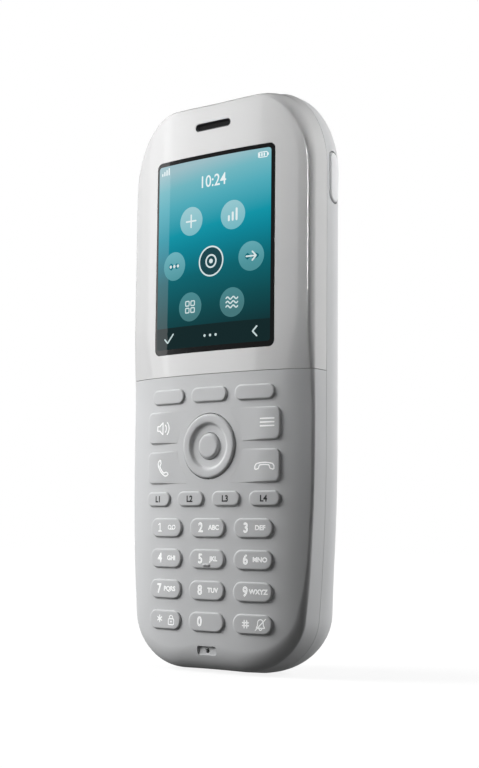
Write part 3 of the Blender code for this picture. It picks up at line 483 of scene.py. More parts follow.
def grown(loop, amount):
    """Move a counter-clockwise loop outwards along its own normals by an amount or an array of them."""
    tangent = np.roll(loop, -1, axis=0) - np.roll(loop, 1, axis=0)
    tangent /= np.linalg.norm(tangent, axis=1, keepdims=True)
    outward = np.stack([tangent[:, 1], -tangent[:, 0]], axis=1)
    return loop + outward * np.reshape(amount, (-1, 1))


def at_depth(loop, depth):
    """Lift a loop of (x, z) points to a depth, an array of depths or a function of (x, z)."""
    depths = depth(loop[:, 0], loop[:, 1]) if callable(depth) else np.broadcast_to(depth, loop.shape[:1])
    return np.stack([loop[:, 0], depths, loop[:, 1]], axis=1)


def prism(loop, front, back):
    """Straight solid part of a loop between two depths."""
    return capped([at_depth(loop, front), at_depth(loop, back)])


def through(loop):
    """Straight solid part of a loop through the whole body."""
    return prism(loop, -DEPTH, DEPTH)


def pad_loop(side, level):
    """Function pad's border: two arc corners outside, an inner side hollowed round the ring."""
    middle, ring = nav_place()
    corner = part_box("menu_key")[1]
    outer, high = corner.x - FLANGE, corner.z - FLANGE - middle
    low = PAD_SPLIT / 2
    round_ring = ring + NAV_TO_PAD
    first, last = math.acos(PAD_INNER / round_ring), math.asin(low / round_ring)
    stretches = [arc(outer - PAD_CORNER, low + PAD_CORNER, PAD_CORNER, -90, 0, 12),
                 arc(outer - PAD_CORNER, high - PAD_CORNER, PAD_CORNER, 0, 90, 12),
                 np.array([[PAD_INNER, high]]),
                 arc(0, 0, round_ring, math.degrees(first), math.degrees(last))]
    share = np.linspace(0, 1, 16)[1:-1, None]
    loop = joined(stretches, [share, share, share[::4], share]) * (side, level) + (0, middle)
    return loop if side * level > 0 else loop[::-1]


# Names of the keys, in rows from the lower end
DIAL_KEYS = ("dial_key_star", "dial_key_0", "dial_key_hash", "dial_key_7", "dial_key_8", "dial_key_9",
             "dial_key_4", "dial_key_5", "dial_key_6", "dial_key_1", "dial_key_2", "dial_key_3")
LINE_KEYS = ("line_key_1", "line_key_2", "line_key_3", "line_key_4")
SOFT_KEYS = ("soft_key_left", "soft_key_middle", "soft_key_right")
PADS = {"speaker_key": (-1, 1), "call_key": (-1, -1), "menu_key": (1, 1), "end_key": (1, -1)}
SLIDING_KEYS = (*DIAL_KEYS, *LINE_KEYS, *SOFT_KEYS, *PADS)


def key_frame(name):
    """Middle and face size of a key, from its CAD box less the hidden flange."""
    return box_face(name, -FLANGE)


def key_loop(name):
    """Border of any sliding key of the front."""
    if name in PADS:
        return pad_loop(*PADS[name])
    x, z, width, height = key_frame(name)
    corner = DIAL_CORNER if name in DIAL_KEYS else LINE_CORNER if name in LINE_KEYS else SOFT_CORNER
    return rounded_loop(x, z, width, height, min(corner, height * PILL))


def nav_place():
    """Middle height and outer radius of the navigation ring."""
    _, middle, width, _ = key_frame("nav_ring")
    return middle, width / 2


def face_depth(name, x, z):
    """Depth of a key's face: proud of the crown, while a pad sinks into the crown near the ring."""
    if name in PADS:
        low, high = PAD_FADE
        return crown(x, z) - PAD_RISE * smooth_step((np.abs(x) - low) / (high - low))
    return crown(x, z) - bpy.context.scene.handset_keys.proud


# Printed marks

# Film thickness is twice INK; types are (cap height, width share, added weight)
INK = 0.000012
CAP_SHARE = 0.682
DIGIT_TYPE = (0.00228, 0.90, 0.00009)
LETTER_TYPE = (0.00112, 1.04, 0.00006)
LINE_TYPE = (0.0015, 0.94, 0.00007)
CLOCK_TYPE = (0.0030, 0.9, 0.00003)


def text_part(words, x, z, front, kind):
    """Words of a type, their middle at (x, z), laid on the face front(x, z) as a thin film.

    A letter's point (u, w, h) goes to (x + narrow u, front - h, z + w - height / 2).
    """
    height, narrow, weight = kind
    data = bpy.data.curves.new("words", "FONT")
    data.body = words
    data.size = height / CAP_SHARE
    data.extrude = INK
    data.offset = weight
    data.resolution_u = 4
    holder = bpy.data.objects.new("words", data)
    bpy.context.scene.collection.objects.link(holder)
    mesh = bpy.data.meshes.new_from_object(holder.evaluated_get(bpy.context.evaluated_depsgraph_get()))
    flat = np.empty(len(mesh.vertices) * 3)
    mesh.vertices.foreach_get("co", flat)
    across, up, out = flat.reshape(-1, 3).T
    faces = [list(polygon.vertices) for polygon in mesh.polygons]
    bpy.data.objects.remove(holder)
    bpy.data.curves.remove(data)
    bpy.data.meshes.remove(mesh)
    at_x = x + narrow * (across - (across.min() + across.max()) / 2)
    at_z = z + up - height / 2
    return np.stack([at_x, front(at_x, at_z) - out, at_z], axis=1), faces


def stroke(path, width, front, closed=False):
    """Printed line: a flat rectangle carried along an (x, z) path on a face, with round ends if open."""
    path = np.asarray(path, dtype=float)
    if closed:
        path = np.concatenate([path, path[:1]])
        ahead = np.gradient(path, axis=0)
        ahead[0] = ahead[-1] = path[1] - path[-2]
        half = np.full(len(path), width / 2)
    else:
        ahead = np.gradient(path, axis=0)
        reach = np.array([1.0, 0.92, 0.71, 0.38])
        ends = ahead[[0, -1]] / np.linalg.norm(ahead[[0, -1]], axis=1, keepdims=True) * width / 2
        first, last = path[0] - reach[:, None] * ends[0], path[-1] + reach[::-1, None] * ends[1]
        path = np.concatenate([first, path, last])
        ahead = np.concatenate([np.tile(ahead[0], (4, 1)), ahead, np.tile(ahead[-1], (4, 1))])
        thin = np.sqrt(1 - reach ** 2) * width / 2
        half = np.concatenate([thin, np.full(len(path) - 8, width / 2), thin[::-1]])
    ahead /= np.linalg.norm(ahead, axis=1, keepdims=True)
    across = np.stack([-ahead[:, 1], ahead[:, 0]], axis=1) * half[:, None]
    corners = [at_depth(path + side * across, lambda x, z: front(x, z) + lift)
               for side, lift in ((1, INK), (1, -INK), (-1, -INK), (-1, INK))]
    return loft(np.stack(corners, axis=1))


def disc(x, z, radius, front, steps=48):
    """Filled printed circle on a face."""
    loop = circle_loop(x, z, radius, steps)
    return capped([at_depth(loop, lambda a, b: front(a, b) + lift) for lift in (INK, -INK)])


def dense(points, steps=8):
    """Points put in evenly along the straight sides of a path."""
    points = np.asarray(points, dtype=float)
    share = np.arange(steps)[:, None] / steps
    sides = [a + (b - a) * share for a, b in zip(points[:-1], points[1:])]
    return np.concatenate([*sides, points[-1:]])


def line(points, width, front, steps=8):
    """Printed line with straight sides through (x, z) points."""
    return stroke(dense(points, steps), width, front)


def turned(points, angle, x, z):
    """Turn (x, z) points by degrees about zero and move them to (x, z)."""
    turn = math.radians(angle)
    points = np.asarray(points, dtype=float)
    return np.stack([x + points[:, 0] * math.cos(turn) - points[:, 1] * math.sin(turn),
                     z + points[:, 0] * math.sin(turn) + points[:, 1] * math.cos(turn)], axis=1)


def receiver_outline(width, arch=0.14):
    """Side view of a telephone receiver in shares of its width, with s from -1 to 1 along it.

    Top is arch (1 - s^2) less a slope at the ends; the depth below it swells by smooth steps to both ends.
    """
    share = np.linspace(-1, 1, 61)
    end = (np.abs(share) - 0.86) / 0.14
    top = 0.05 + arch * (1 - share ** 2) - 0.08 * np.clip(end, 0, None)
    thick = 0.10 + 0.15 * smooth_step((np.abs(share) - 0.48) / 0.16) - 0.10 * smooth_step(end)
    upper, lower = (np.stack([share / 2, height], axis=1) for height in (top, top - thick))
    return width * np.concatenate([upper, lower[::-1]])


# Materials

DRIFT_SIZE = 0.03
TONE_ENDS = (0.3, 0.7)
ROUGH_RANGE = (0.92, 1.08)
GRAIN_HEIGHT = 0.3
PLASTIC_IOR = 1.5


def add_node(tree, kind, links=None, values=None, **settings):
    """Add a shader node, set its fields and socket values, and link (socket, source) pairs into it."""
    node = tree.nodes.new(kind)
    for field, value in settings.items():
        setattr(node, field, value)
    for socket, value in (values or {}).items():
        node.inputs[socket].default_value = value
    for socket, source in (links or {}).items():
        tree.links.new(source, node.inputs[socket])
    return node


def maths(tree, operation, *terms):
    """Result of a maths node over sockets and plain numbers."""
    values = {slot: term for slot, term in enumerate(terms) if isinstance(term, float)}
    links = {slot: term for slot, term in enumerate(terms) if slot not in values}
    return add_node(tree, "ShaderNodeMath", links, values, operation=operation).outputs[0]


def mapped(tree, value, span, ends):
    """A socket's value carried from one (start, end) range to another, held at the ends."""
    values = {"From Min": span[0], "From Max": span[1], "To Min": ends[0], "To Max": ends[1]}
    return add_node(tree, "ShaderNodeMapRange", {"Value": value}, values).outputs["Result"]


def new_material(name):
    """Empty node material with an output."""
    made = bpy.data.materials.new(name)
    made.use_nodes = True
    made.node_tree.nodes.clear()
    return made, made.node_tree, add_node(made.node_tree, "ShaderNodeOutputMaterial")


def moulded(name, colour, roughness, grain, bump, shift, metallic=0.0, coat=0.0, coat_roughness=0.03,
            glow=0.0):
    """Moulded or painted finish: fine grain in the bump, slow tone drift in the colour, and a painted glow
    where glow is given.
    """
    found = bpy.data.materials.get(name)
    if found:
        return found
    made, tree, output = new_material(name)
    where = add_node(tree, "ShaderNodeTexCoord").outputs["Object"]
    fine = add_node(tree, "ShaderNodeTexNoise", {"Vector": where},
                    {"Scale": 1 / grain, "Detail": 2.0, "Roughness": 0.6})
    slow = add_node(tree, "ShaderNodeTexNoise", {"Vector": where}, {"Scale": 1 / DRIFT_SIZE, "Detail": 1.0})
    base = np.array(linear(colour)[:3])
    ramp = add_node(tree, "ShaderNodeValToRGB", {"Fac": slow.outputs["Fac"]})
    for point, position, side in zip(ramp.color_ramp.elements, TONE_ENDS, (-1, 1)):
        point.position = position
        point.color = (*np.clip(base * (1 + side * shift / 2), 0, 1), 1.0)
    rough = mapped(tree, fine.outputs["Fac"], (0.0, 1.0), [roughness * share for share in ROUGH_RANGE])
    bumped = add_node(tree, "ShaderNodeBump", {"Height": fine.outputs["Fac"]},
                      {"Strength": bump, "Distance": grain * GRAIN_HEIGHT})
    shader = add_node(tree, "ShaderNodeBsdfPrincipled",
                      {"Base Color": ramp.outputs["Color"], "Roughness": rough,
                       "Normal": bumped.outputs["Normal"]},
                      {"Metallic": metallic, "IOR": PLASTIC_IOR, "Coat Weight": coat,
                       "Coat Roughness": coat_roughness, "Emission Color": linear(colour),
                       "Emission Strength": glow})
    tree.links.new(shader.outputs["BSDF"], output.inputs["Surface"])
    return made


def silver_paint():
    """Silver lacquer on ABS, satin: a fine grain on a light grey base, with no bare metal."""
    look = bpy.context.scene.handset_shell
    return moulded("satin silver paint on ABS", look.keypad_colour, 0.45, 0.00025, 0.03, 0.02)


def gloss_paint():
    """Light silver paint under polished clear lacquer: pale body colour with sharp reflections."""
    look = bpy.context.scene.handset_shell
    return moulded("polished pale silver lacquer", look.cover_colour, 0.35, 0.0004, 0.01, 0.02, coat=1.0)


def back_plastic():
    """Spark-textured moulded ABS: even light grey with a fine matte grain."""
    look = bpy.context.scene.handset_shell
    return moulded("spark textured grey ABS", look.back_colour, 0.5, 0.00035, 0.12, 0.03)


def button_plastic():
    """Moulded pale ABS of the side button, finer and smoother than the shell."""
    return moulded("satin pale ABS", "#DCDDDE", 0.4, 0.0003, 0.05, 0.02)


def grey_plastic():
    """Moulded dark grey ABS of the slot's lip, satin."""
    return moulded("dark grey moulded ABS", "#3B3C3E", 0.4, 0.0003, 0.05, 0.08)


def white_ink():
    """White legend ink, matte, with a faint painted glow on a print that is no lamp."""
    # A glow of 0.25 is painted light that brightens the white print; the print itself is no lamp.
    return moulded("white translucent legend", "#F4F5F5", 0.55, 0.0002, 0.05, 0.02, glow=0.25)


def dark_ink():
    """Pad-printed dark grey ink."""
    return moulded("dark pad print ink", "#1C1D1F", 0.55, 0.0002, 0.05, 0.05)


def black_glass():
    """Black back-printed border under polished cover glass."""
    return moulded("black printed glass", "#0B0D0E", 0.25, 0.0005, 0.0, 0.1, coat=1.0, coat_roughness=0.02)


def screen_paint(name, stops, strength):
    """Lit pixels under polished glass: colour runs down the picture by stops, the glass reflects on top."""
    found = bpy.data.materials.get(name)
    if found:
        return found
    made, tree, output = new_material(name)
    where = add_node(tree, "ShaderNodeTexCoord").outputs["Object"]
    split = add_node(tree, "ShaderNodeSeparateXYZ", {"Vector": where})
    low, high = picture_box()[2:]
    down = mapped(tree, split.outputs["Z"], (high, low), (0.0, 1.0))
    moved = maths(tree, "ADD", down, maths(tree, "MULTIPLY", split.outputs["X"], PICTURE_DRIFT))
    strip = maths(tree, "GREATER_THAN", down, STRIP_SHARE)
    ramp = add_node(tree, "ShaderNodeValToRGB", {"Fac": maths(tree, "MAXIMUM", moved, strip)})
    points = ramp.color_ramp.elements
    while len(points) < len(stops):
        points.new(0.5)
    for point, (position, code) in zip(points, stops):
        point.position = position
        point.color = linear(code)
    shader = add_node(tree, "ShaderNodeBsdfPrincipled", {"Emission Color": ramp.outputs["Color"]},
                      {"Base Color": linear("#050708"), "Roughness": 0.3, "Specular IOR Level": 0.0,
                       "Emission Strength": strength, "Coat Weight": 1.0, "Coat Roughness": 0.02})
    tree.links.new(shader.outputs["BSDF"], output.inputs["Surface"])
    return made


# Settings

IN_METRES = {"subtype": "DISTANCE", "unit": "LENGTH"}


class ShellSettings(bpy.types.PropertyGroup):
    """Finish of the shells."""
    keypad_colour: bpy.props.StringProperty(
        name="Keypad colour", description="sRGB hex of the satin lower cover and keys", default="#C7C8C9")
    cover_colour: bpy.props.StringProperty(
        name="Cover colour", description="sRGB hex of the polished upper cover", default="#D3D3D3")
    back_colour: bpy.props.StringProperty(
        name="Back colour", description="sRGB hex of the rear shell", default="#C9CACB")
    seam: bpy.props.FloatProperty(
        name="Seam", description="Open width of the joints between shells", default=0.00013,
        min=0.00005, max=0.0006, **IN_METRES)
    button_gap: bpy.props.FloatProperty(
        name="Button gap", description="Open line round the side button", default=0.00035,
        min=0.0001, max=0.0006, **IN_METRES)
    button_proud: bpy.props.FloatProperty(
        name="Button height", description="How far the side button stands out", default=0.00028,
        min=0.0001, max=0.0004, **IN_METRES)


class KeySettings(bpy.types.PropertyGroup):
    """Form of the keys."""
    proud: bpy.props.FloatProperty(
        name="Height", description="How far a key stands out of the cover", default=0.0005,
        min=0.0002, max=0.0015, **IN_METRES)
    bevel: bpy.props.FloatProperty(
        name="Bevel", description="Width of the rounded border of a key", default=0.0007,
        min=0.0001, max=0.0012, **IN_METRES)
    gap: bpy.props.FloatProperty(
        name="Gap", description="Open line round a key", default=0.00002,
        min=0.00001, max=0.0003, **IN_METRES)
    rocking_gap: bpy.props.FloatProperty(
        name="Rocking gap", description="Open line round the navigation ring and select key", default=0.0002,
        min=0.00015, max=0.0003, **IN_METRES)
    wall: bpy.props.FloatProperty(
        name="Wall", description="Depth of a key's side below the cover", default=0.0015,
        min=0.0008, max=0.0020, **IN_METRES)


class DisplaySettings(bpy.types.PropertyGroup):
    """Lit picture."""
    glow: bpy.props.FloatProperty(
        name="Glow", description="Strength of the lit picture", default=1.0, min=0, max=4)


class StageSettings(bpy.types.PropertyGroup):
    """Camera and studio."""
    camera_place: bpy.props.FloatVectorProperty(
        name="Camera place", description="Where the camera stands", size=3, precision=5,
        default=(0.215819, -0.285642, 0.034246), subtype="XYZ", unit="LENGTH")
    camera_turn: bpy.props.FloatVectorProperty(
        name="Camera turn", description="Azimuth to the right, pitch up and roll", size=3, precision=5,
        default=(0.644017, 0.109036, 0.010103), subtype="EULER", unit="ROTATION")
    focal_pixels: bpy.props.FloatProperty(
        name="Focal length", description="Focal length in pixels of the picture", default=1380.264)
    ambient: bpy.props.FloatProperty(
        name="Ambient", description="Light from all round", default=0.015, min=0, max=1)


# Operators


def front_skin(name, finish, side):
    """Front half of the body on one side of the seam between the covers, 1 above and -1 below."""
    seam = bpy.context.scene.handset_shell.seam
    piece = mesh_piece(name, [loft(front_rings(PARTING - seam / 2))], finish)
    other = SEAM + side * (seam / 2 - LENGTH / 2)
    cut(piece, [through(rounded_loop(0, other, LENGTH, LENGTH, TOOL_CORNER))])
    return piece


class HANDSET_OT_keypad_cover(bpy.types.Operator):
    """Satin lower cover, open for every key, with the microphone recess"""
    bl_idname = "handset.keypad_cover"
    bl_label = "Keypad Cover"

    def execute(self, context):
        keys = context.scene.handset_keys
        piece = front_skin("keypad_cover_skin", silver_paint(), -1)
        height, radius = nav_place()
        holes = [through(grown(key_loop(name), keys.gap)) for name in SLIDING_KEYS]
        cut(piece, [*holes, through(circle_loop(0, height, radius + keys.rocking_gap, 120))])
        mic = box_face("microphone_boot")[1]
        cut(piece, [prism(rounded_loop(0, mic, *MIC_RECESS), -DEPTH, MIC_DEPTH)])
        cut(piece, [through(circle_loop(0, mic, MIC_HOLE, 32))])
        on_body(piece, "housing", "matte_shell", "keypad_cover")
        return {"FINISHED"}


class HANDSET_OT_display_cover(bpy.types.Operator):
    """Polished upper cover with the display window and the earpiece slot"""
    bl_idname = "handset.display_cover"
    bl_label = "Display Cover"

    def execute(self, context):
        piece = front_skin("display_cover_skin", gloss_paint(), 1)
        cut(piece, [through(window_loop(WINDOW_GAP)), through(slot_loop(SLOT_GAP))])
        on_body(piece, "housing", "gloss_shell", "display_cover")
        return {"FINISHED"}


def window_loop(grow=0.0):
    """Border of the display window."""
    return grown(rounded_loop(*box_face("display_lens"), WINDOW_CORNER, 10, 40), grow)


def slot_loop(grow=0.0):
    """Border of the earpiece slot's insert."""
    x, z, width, height = box_face("earpiece_mesh")
    return grown(rounded_loop(x, z, width, height, height * SLOT_ROUND, 12, 8), grow)


def door_loop(grow=0.0):
    """Border of the battery door, without its hidden tongue."""
    low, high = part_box("battery_door")
    bottom = low.z + DOOR_TONGUE
    return rounded_loop(0, (bottom + high.z) / 2, high.x - low.x + 2 * grow, high.z - bottom + 2 * grow,
                        DOOR_CORNER + grow, 10, 24)


def side_loop(grow=0.0):
    """Border of the side button as (depth, z) points."""
    front, back = box_depths("side_button")
    _, middle, _, height = key_frame("side_button")
    width = back - front
    return rounded_loop((front + back) / 2, middle, width + 2 * grow, height + 2 * grow, width * PILL + grow,
                        14, 12)


def side_skin(depth, z):
    """x of the rear shell's right side: the outline less reach (1 - sqrt(1 - u^2)), u rising to the back."""
    x, level = outline()
    wide = x > HALF_WIDTH / 2
    turn = np.clip(1 - (DEPTH - depth) / BACK_ROUND[0], 0, 1)
    return np.interp(z, level[wide], x[wide]) - BACK_REACH[0] * (1 - np.sqrt(1 - turn ** 2))


def side_ring(loop, x):
    """Lift a (depth, z) loop to x, a number or an array."""
    return np.stack([np.broadcast_to(x, loop.shape[:1]), loop[:, 0], loop[:, 1]], axis=1)


def grille_slots():
    """Tools for the five level slots in front of the loudspeaker."""
    middle = box_face("loudspeaker")[1]
    width, height = GRILLE_SLOT
    floor = box_depths("loudspeaker")[1] - GRILLE_FLOOR
    rows = [middle + row * GRILLE_PITCH for row in range(-2, 3)]
    return [prism(rounded_loop(0, z, width, height, height * PILL), floor, DEPTH * 2) for z in rows]


def screw_wells():
    """Tools for the round wells down to the screw heads."""
    heads = [(box_face(name)[:2], box_depths(name)[1] - SCREW_HEAD) for name in SCREWS]
    return [prism(circle_loop(*middle, SCREW_WELL, 48), head, DEPTH * 2) for middle, head in heads]


def side_opening(gap):
    """Tool for the side button's hole through the right wall."""
    return capped([side_ring(side_loop(gap), HALF_WIDTH * share) for share in (0.8, 1.2)])


def contact_slots():
    """Tools for the open slots of the charging contacts in the lower end."""
    tools = []
    for name in CONTACTS:
        front, back = box_depths(name)
        loop = rounded_loop(box_face(name)[0], 0.0, *CONTACT_SLOT)
        tools.append(prism(loop, front - CONTACT_GAP, back + CONTACT_GAP))
    return tools


class HANDSET_OT_back_shell(bpy.types.Operator):
    """Grey rear shell with door seat, grille, screw wells, side opening and charging slots"""
    bl_idname = "handset.back_shell"
    bl_label = "Back Shell"

    def execute(self, context):
        look = context.scene.handset_shell
        piece = mesh_piece("back_shell_skin", [capped(back_rings(PARTING + look.seam / 2))], back_plastic())
        cut(piece, [capped(inner_rings(0.0, HOLLOW_DEPTH, SIDE_WALL))])
        cut(piece, [prism(door_loop(look.seam), box_depths("battery_door")[0] - look.seam, DEPTH * 2)])
        bay = rounded_loop(*box_face("battery_pack", BAY_GAP), TOOL_CORNER)
        cut(piece, [prism(bay, box_depths("battery_pack")[0] - BAY_GAP, DEPTH)])
        cut(piece, [*grille_slots(), *screw_wells(), side_opening(look.button_gap), *contact_slots()])
        on_body(piece, "housing", "matte_shell", "back_housing")
        return {"FINISHED"}


def stepped(loop, back, steps):
    """Solid part of a loop drawn in by insets at heights above a depth."""
    return capped([at_depth(grown(loop, -inset), back - height) for inset, height in steps])


class HANDSET_OT_battery_door(bpy.types.Operator):
    """Flush battery door with softened edges and a ribbed thumb hollow"""
    bl_idname = "handset.battery_door"
    bl_label = "Battery Door"

    def execute(self, context):
        front, back = box_depths("battery_door")
        loop = door_loop()
        rings = [at_depth(loop, front)]
        for turn in np.linspace(0, math.pi / 2, 6):
            rings.append(at_depth(grown(loop, -DOOR_EDGE * (1 - math.cos(turn))),
                                  back - DOOR_EDGE * (1 - math.sin(turn))))
        piece = mesh_piece("battery_door_skin", [capped(rings)], back_plastic())
        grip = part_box("battery_door")[1].z - GRIP_DROP
        cut(piece, [stepped(rounded_loop(0, grip, *GRIP), back, GRIP_STEPS)])
        width, thick, corner = RIB
        ribs = [stepped(rounded_loop(0, grip + row * RIB_PITCH, width - abs(row) * RIB_TAPER, thick, corner),
                        back, RIB_STEPS) for row in (-1.5, -0.5, 0.5, 1.5)]
        grips = mesh_piece("battery_door_ribs", ribs, back_plastic())
        on_body(piece, "housing", "matte_shell", "battery_door")
        on_body(grips, "housing", "matte_shell")
        return {"FINISHED"}


class HANDSET_OT_side_button(bpy.types.Operator):
    """Side button that follows the rear shell's side and stands a little out of it"""
    bl_idname = "handset.side_button"
    bl_label = "Side Button"

    def execute(self, context):
        proud = context.scene.handset_shell.button_proud
        loop = side_loop()
        rings = [side_ring(loop, HALF_WIDTH - BUTTON_DEPTH)]
        for turn in np.linspace(0, math.pi / 2, 8):
            inner = grown(loop, -BUTTON_EDGE * (1 - math.cos(turn)))
            lift = (proud + BUTTON_SUNK) * math.sin(turn) - BUTTON_SUNK
            rings.append(side_ring(inner, side_skin(*inner.T) + lift))
        rings += closing(rings[-1][:, 1:], (0.8, 0.6, 0.4, 0.2),
                         lambda inner: side_ring(inner, side_skin(*inner.T) + proud))
        piece = mesh_piece("side_button_cap", [capped(rings)], button_plastic())
        on_body(piece, "side_button", "key_plastic", "side_button")
        return {"FINISHED"}


class HANDSET_OT_earpiece(bpy.types.Operator):
    """Dark lip of the earpiece slot"""
    bl_idname = "handset.earpiece"
    bl_label = "Earpiece Lip"

    def execute(self, context):
        rings = [at_depth(slot_loop(grow), depth) for grow, depth in SLOT_LIP]
        piece = mesh_piece("earpiece_lip", [loft([*rings, rings[0]])], grey_plastic())
        on_body(piece, "housing", "dark_plastic")
        return {"FINISHED"}


def bevel_rings(loop, face, bevel):
    """Rings of a key's border from the cover up to the face.

    An elliptic quarter at angle a: inset is bevel (1 - cos a), rise is height sin a.
    """
    rings = []
    for angle in np.linspace(0, math.pi / 2, 9):
        ring = grown(loop, -bevel * (1 - math.cos(angle)))
        skin = crown(*ring.T)
        rings.append(at_depth(ring, skin + (face(*ring.T) - skin) * math.sin(angle)))
    return rings


def key_part(name, keys):
    """Whole key: wall below the cover, bevelled border and face closed on its middle."""
    loop = key_loop(name)
    face = partial(face_depth, name)
    skin = crown(*loop.T)
    bevel = np.minimum(keys.bevel, np.maximum(skin - face(*loop.T), 0) * BEVEL_SHARE + LEAST_BEVEL)
    border = bevel_rings(loop, face, bevel)
    inner = closing(border[-1][:, [0, 2]], (0.85, 0.7, 0.5, 0.3, 0.12), lambda ring: at_depth(ring, face))
    return capped([at_depth(loop, skin + keys.wall), *border, *inner])


class HANDSET_OT_keys(bpy.types.Operator):
    """Dial, line, soft and function keys with bevelled borders"""
    bl_idname = "handset.keys"
    bl_label = "Keys"

    def execute(self, context):
        keys = context.scene.handset_keys
        for name in SLIDING_KEYS:
            piece = mesh_piece(name + "_cap", [key_part(name, keys)], silver_paint())
            on_body(piece, name, "key_plastic", name)
        return {"FINISHED"}


DIAL_LETTERS = {"2": "ABC", "3": "DEF", "4": "GHI", "5": "JKL", "6": "MNO", "7": "PQRS", "8": "TUV",
                "9": "WXYZ"}


def one_sign(x, z, front):
    """Figure one with a flag and a foot."""
    flag = [(x - 0.00062, z + 0.00062), (x, z + 0.00102), (x, z - 0.00102)]
    foot = [(x - 0.00055, z - 0.00102), (x + 0.00055, z - 0.00102)]
    return [line(path, 0.00028, front) for path in (flag, foot)]


def message_sign(x, z, front):
    """Two rings on a line, for stored messages."""
    apart, radius, width = 0.00072, 0.0005, 0.00022
    rings = [stroke(circle_loop(x + side * apart, z, radius, 24), width, front, True) for side in (-1, 1)]
    return [*rings, line([(x - apart, z - radius), (x + apart, z - radius)], width, front)]


def lock_sign(x, z, front):
    """Padlock: a box outline and a bow."""
    middle, half, width = z - 0.00045, 0.0006, 0.00024
    case = rounded_loop(x, middle, 0.0019, 0.0015, 0.0003, 6, 6)
    bow = [[(x + half, z + 0.0003)], arc(x, z + 0.00055, half, 0, 180, 16), [(x - half, z + 0.0003)]]
    return [stroke(case, width, front, True), stroke(np.concatenate(bow), width, front),
            disc(x, middle, 0.00022, front, 16)]


def quiet_sign(x, z, front):
    """Bell outline with a stroke through it."""
    half = np.concatenate([arc(0.0, 0.0005, 0.00075, 90, 0, 12), [(0.0008, -0.0002), (0.0012, -0.0008)]])
    bell = np.concatenate([half, (half * (-1, 1))[::-1][:-1]])
    return [stroke(dense(np.concatenate([bell, bell[:1]]), 4)[:-1] + (x, z), 0.00024, front, True),
            stroke(arc(x, z - 0.0009, 0.0004, 200, 340, 8), 0.00022, front),
            line([(x - 0.0014, z - 0.0014), (x + 0.0014, z + 0.0014)], 0.00024, front)]


def star_sign(x, z, front):
    """Six-armed star of three crossing strokes."""
    return [stroke(turned(dense([(-0.00085, 0), (0.00085, 0)]), angle, x, z), 0.0003, front)
            for angle in (30, 90, 150)]


def hash_sign(x, z, front):
    """Two upright and two level strokes."""
    long = 0.0009
    upright = [[(x + side, z - long), (x + side, z + long)] for side in (-0.00038, 0.00038)]
    level = [[(x - long, z + side), (x + long, z + side)] for side in (-0.00036, 0.00036)]
    return [line(path, 0.00028, front) for path in upright + level]


def speaker_sign(x, z, front):
    """Loudspeaker outline with two sound arcs."""
    cone = dense([(-0.0020, -0.0006), (-0.0012, -0.0006), (-0.0001, -0.0016), (-0.0001, 0.0016),
                  (-0.0012, 0.0006), (-0.0020, 0.0006), (-0.0020, -0.0006)])[:-1]
    waves = [stroke(arc(x - 0.0002, z, radius, -45, 45), 0.0003, front) for radius in (0.0013, 0.0022)]
    return [stroke(cone + (x, z), 0.0003, front, True), *waves]


def list_sign(x, z, front):
    """Three level bars."""
    rows = [z + row * 0.00092 for row in (-1, 0, 1)]
    return [line([(x - 0.0019, row), (x + 0.0019, row)], 0.00032, front) for row in rows]


def call_sign(x, z, front):
    """Receiver lifted on the slant."""
    return [stroke(turned(receiver_outline(0.0047), 128, x, z), 0.0003, front, True)]


def end_sign(x, z, front):
    """Receiver laid level."""
    return [stroke(turned(receiver_outline(0.0054, 0.08), 0, x, z), 0.00028, front, True)]


PAD_SIGNS = {"speaker_key": (speaker_sign, -0.0154, 0.0616), "call_key": (call_sign, -0.0155, 0.0511),
             "menu_key": (list_sign, 0.0177, 0.06205), "end_key": (end_sign, 0.0170, 0.0514)}


def print_on(name, marks, ink, slot):
    """Printed piece of a key, which rides on the key's body."""
    on_body(mesh_piece(name + "_print", marks, ink), name, slot)


def dial_marks(name, front):
    """Number or sign on the left of a dial key, letters or a second sign on the right."""
    x, z, _, _ = key_frame(name)
    face = name.rsplit("_", 1)[1]
    left, right, middle = x - 0.0020, x + 0.0022, z + 0.0001
    if face == "star":
        return [*star_sign(left + 0.0004, z + 0.0002, front), *lock_sign(right + 0.0003, z, front)]
    if face == "hash":
        return [*hash_sign(left + 0.0003, z, front), *quiet_sign(right + 0.0003, z, front)]
    if face == "1":
        return [*one_sign(left, middle, front), *message_sign(right, middle, front)]
    marks = [text_part(face, left + 0.0001, middle, front, DIGIT_TYPE)]
    if face in DIAL_LETTERS:
        letters = DIAL_LETTERS[face]
        right -= 0.0004 * (len(letters) - 3)
        marks.append(text_part(letters, right, middle, front, LETTER_TYPE))
    return marks


class HANDSET_OT_key_marks(bpy.types.Operator):
    """Printed numbers, letters and signs, and the raised bar on the middle key"""
    bl_idname = "handset.key_marks"
    bl_label = "Key Marks"

    def execute(self, context):
        for name in DIAL_KEYS:
            print_on(name, dial_marks(name, partial(face_depth, name)), white_ink(), "white_plastic")
        for number, name in enumerate(LINE_KEYS, 1):
            x, z, _, _ = key_frame(name)
            mark = text_part("L%d" % number, x, z, partial(face_depth, name), LINE_TYPE)
            print_on(name, [mark], dark_ink(), "dark_plastic")
        for name, (sign, x, z) in PAD_SIGNS.items():
            print_on(name, sign(x, z, partial(face_depth, name)), white_ink(), "white_plastic")
        x, z, _, _ = key_frame("dial_key_5")
        bar = rounded_loop(x, z - MIDDLE_BAR_DROP, *MIDDLE_BAR)
        rings = [at_depth(grown(bar, -inset), lambda a, b: face_depth("dial_key_5", a, b) - lift)
                 for inset, lift in MIDDLE_BAR_STEPS]
        on_body(mesh_piece("dial_key_5_bar", [capped(rings)], silver_paint()), "dial_key_5", "key_plastic")
        return {"FINISHED"}


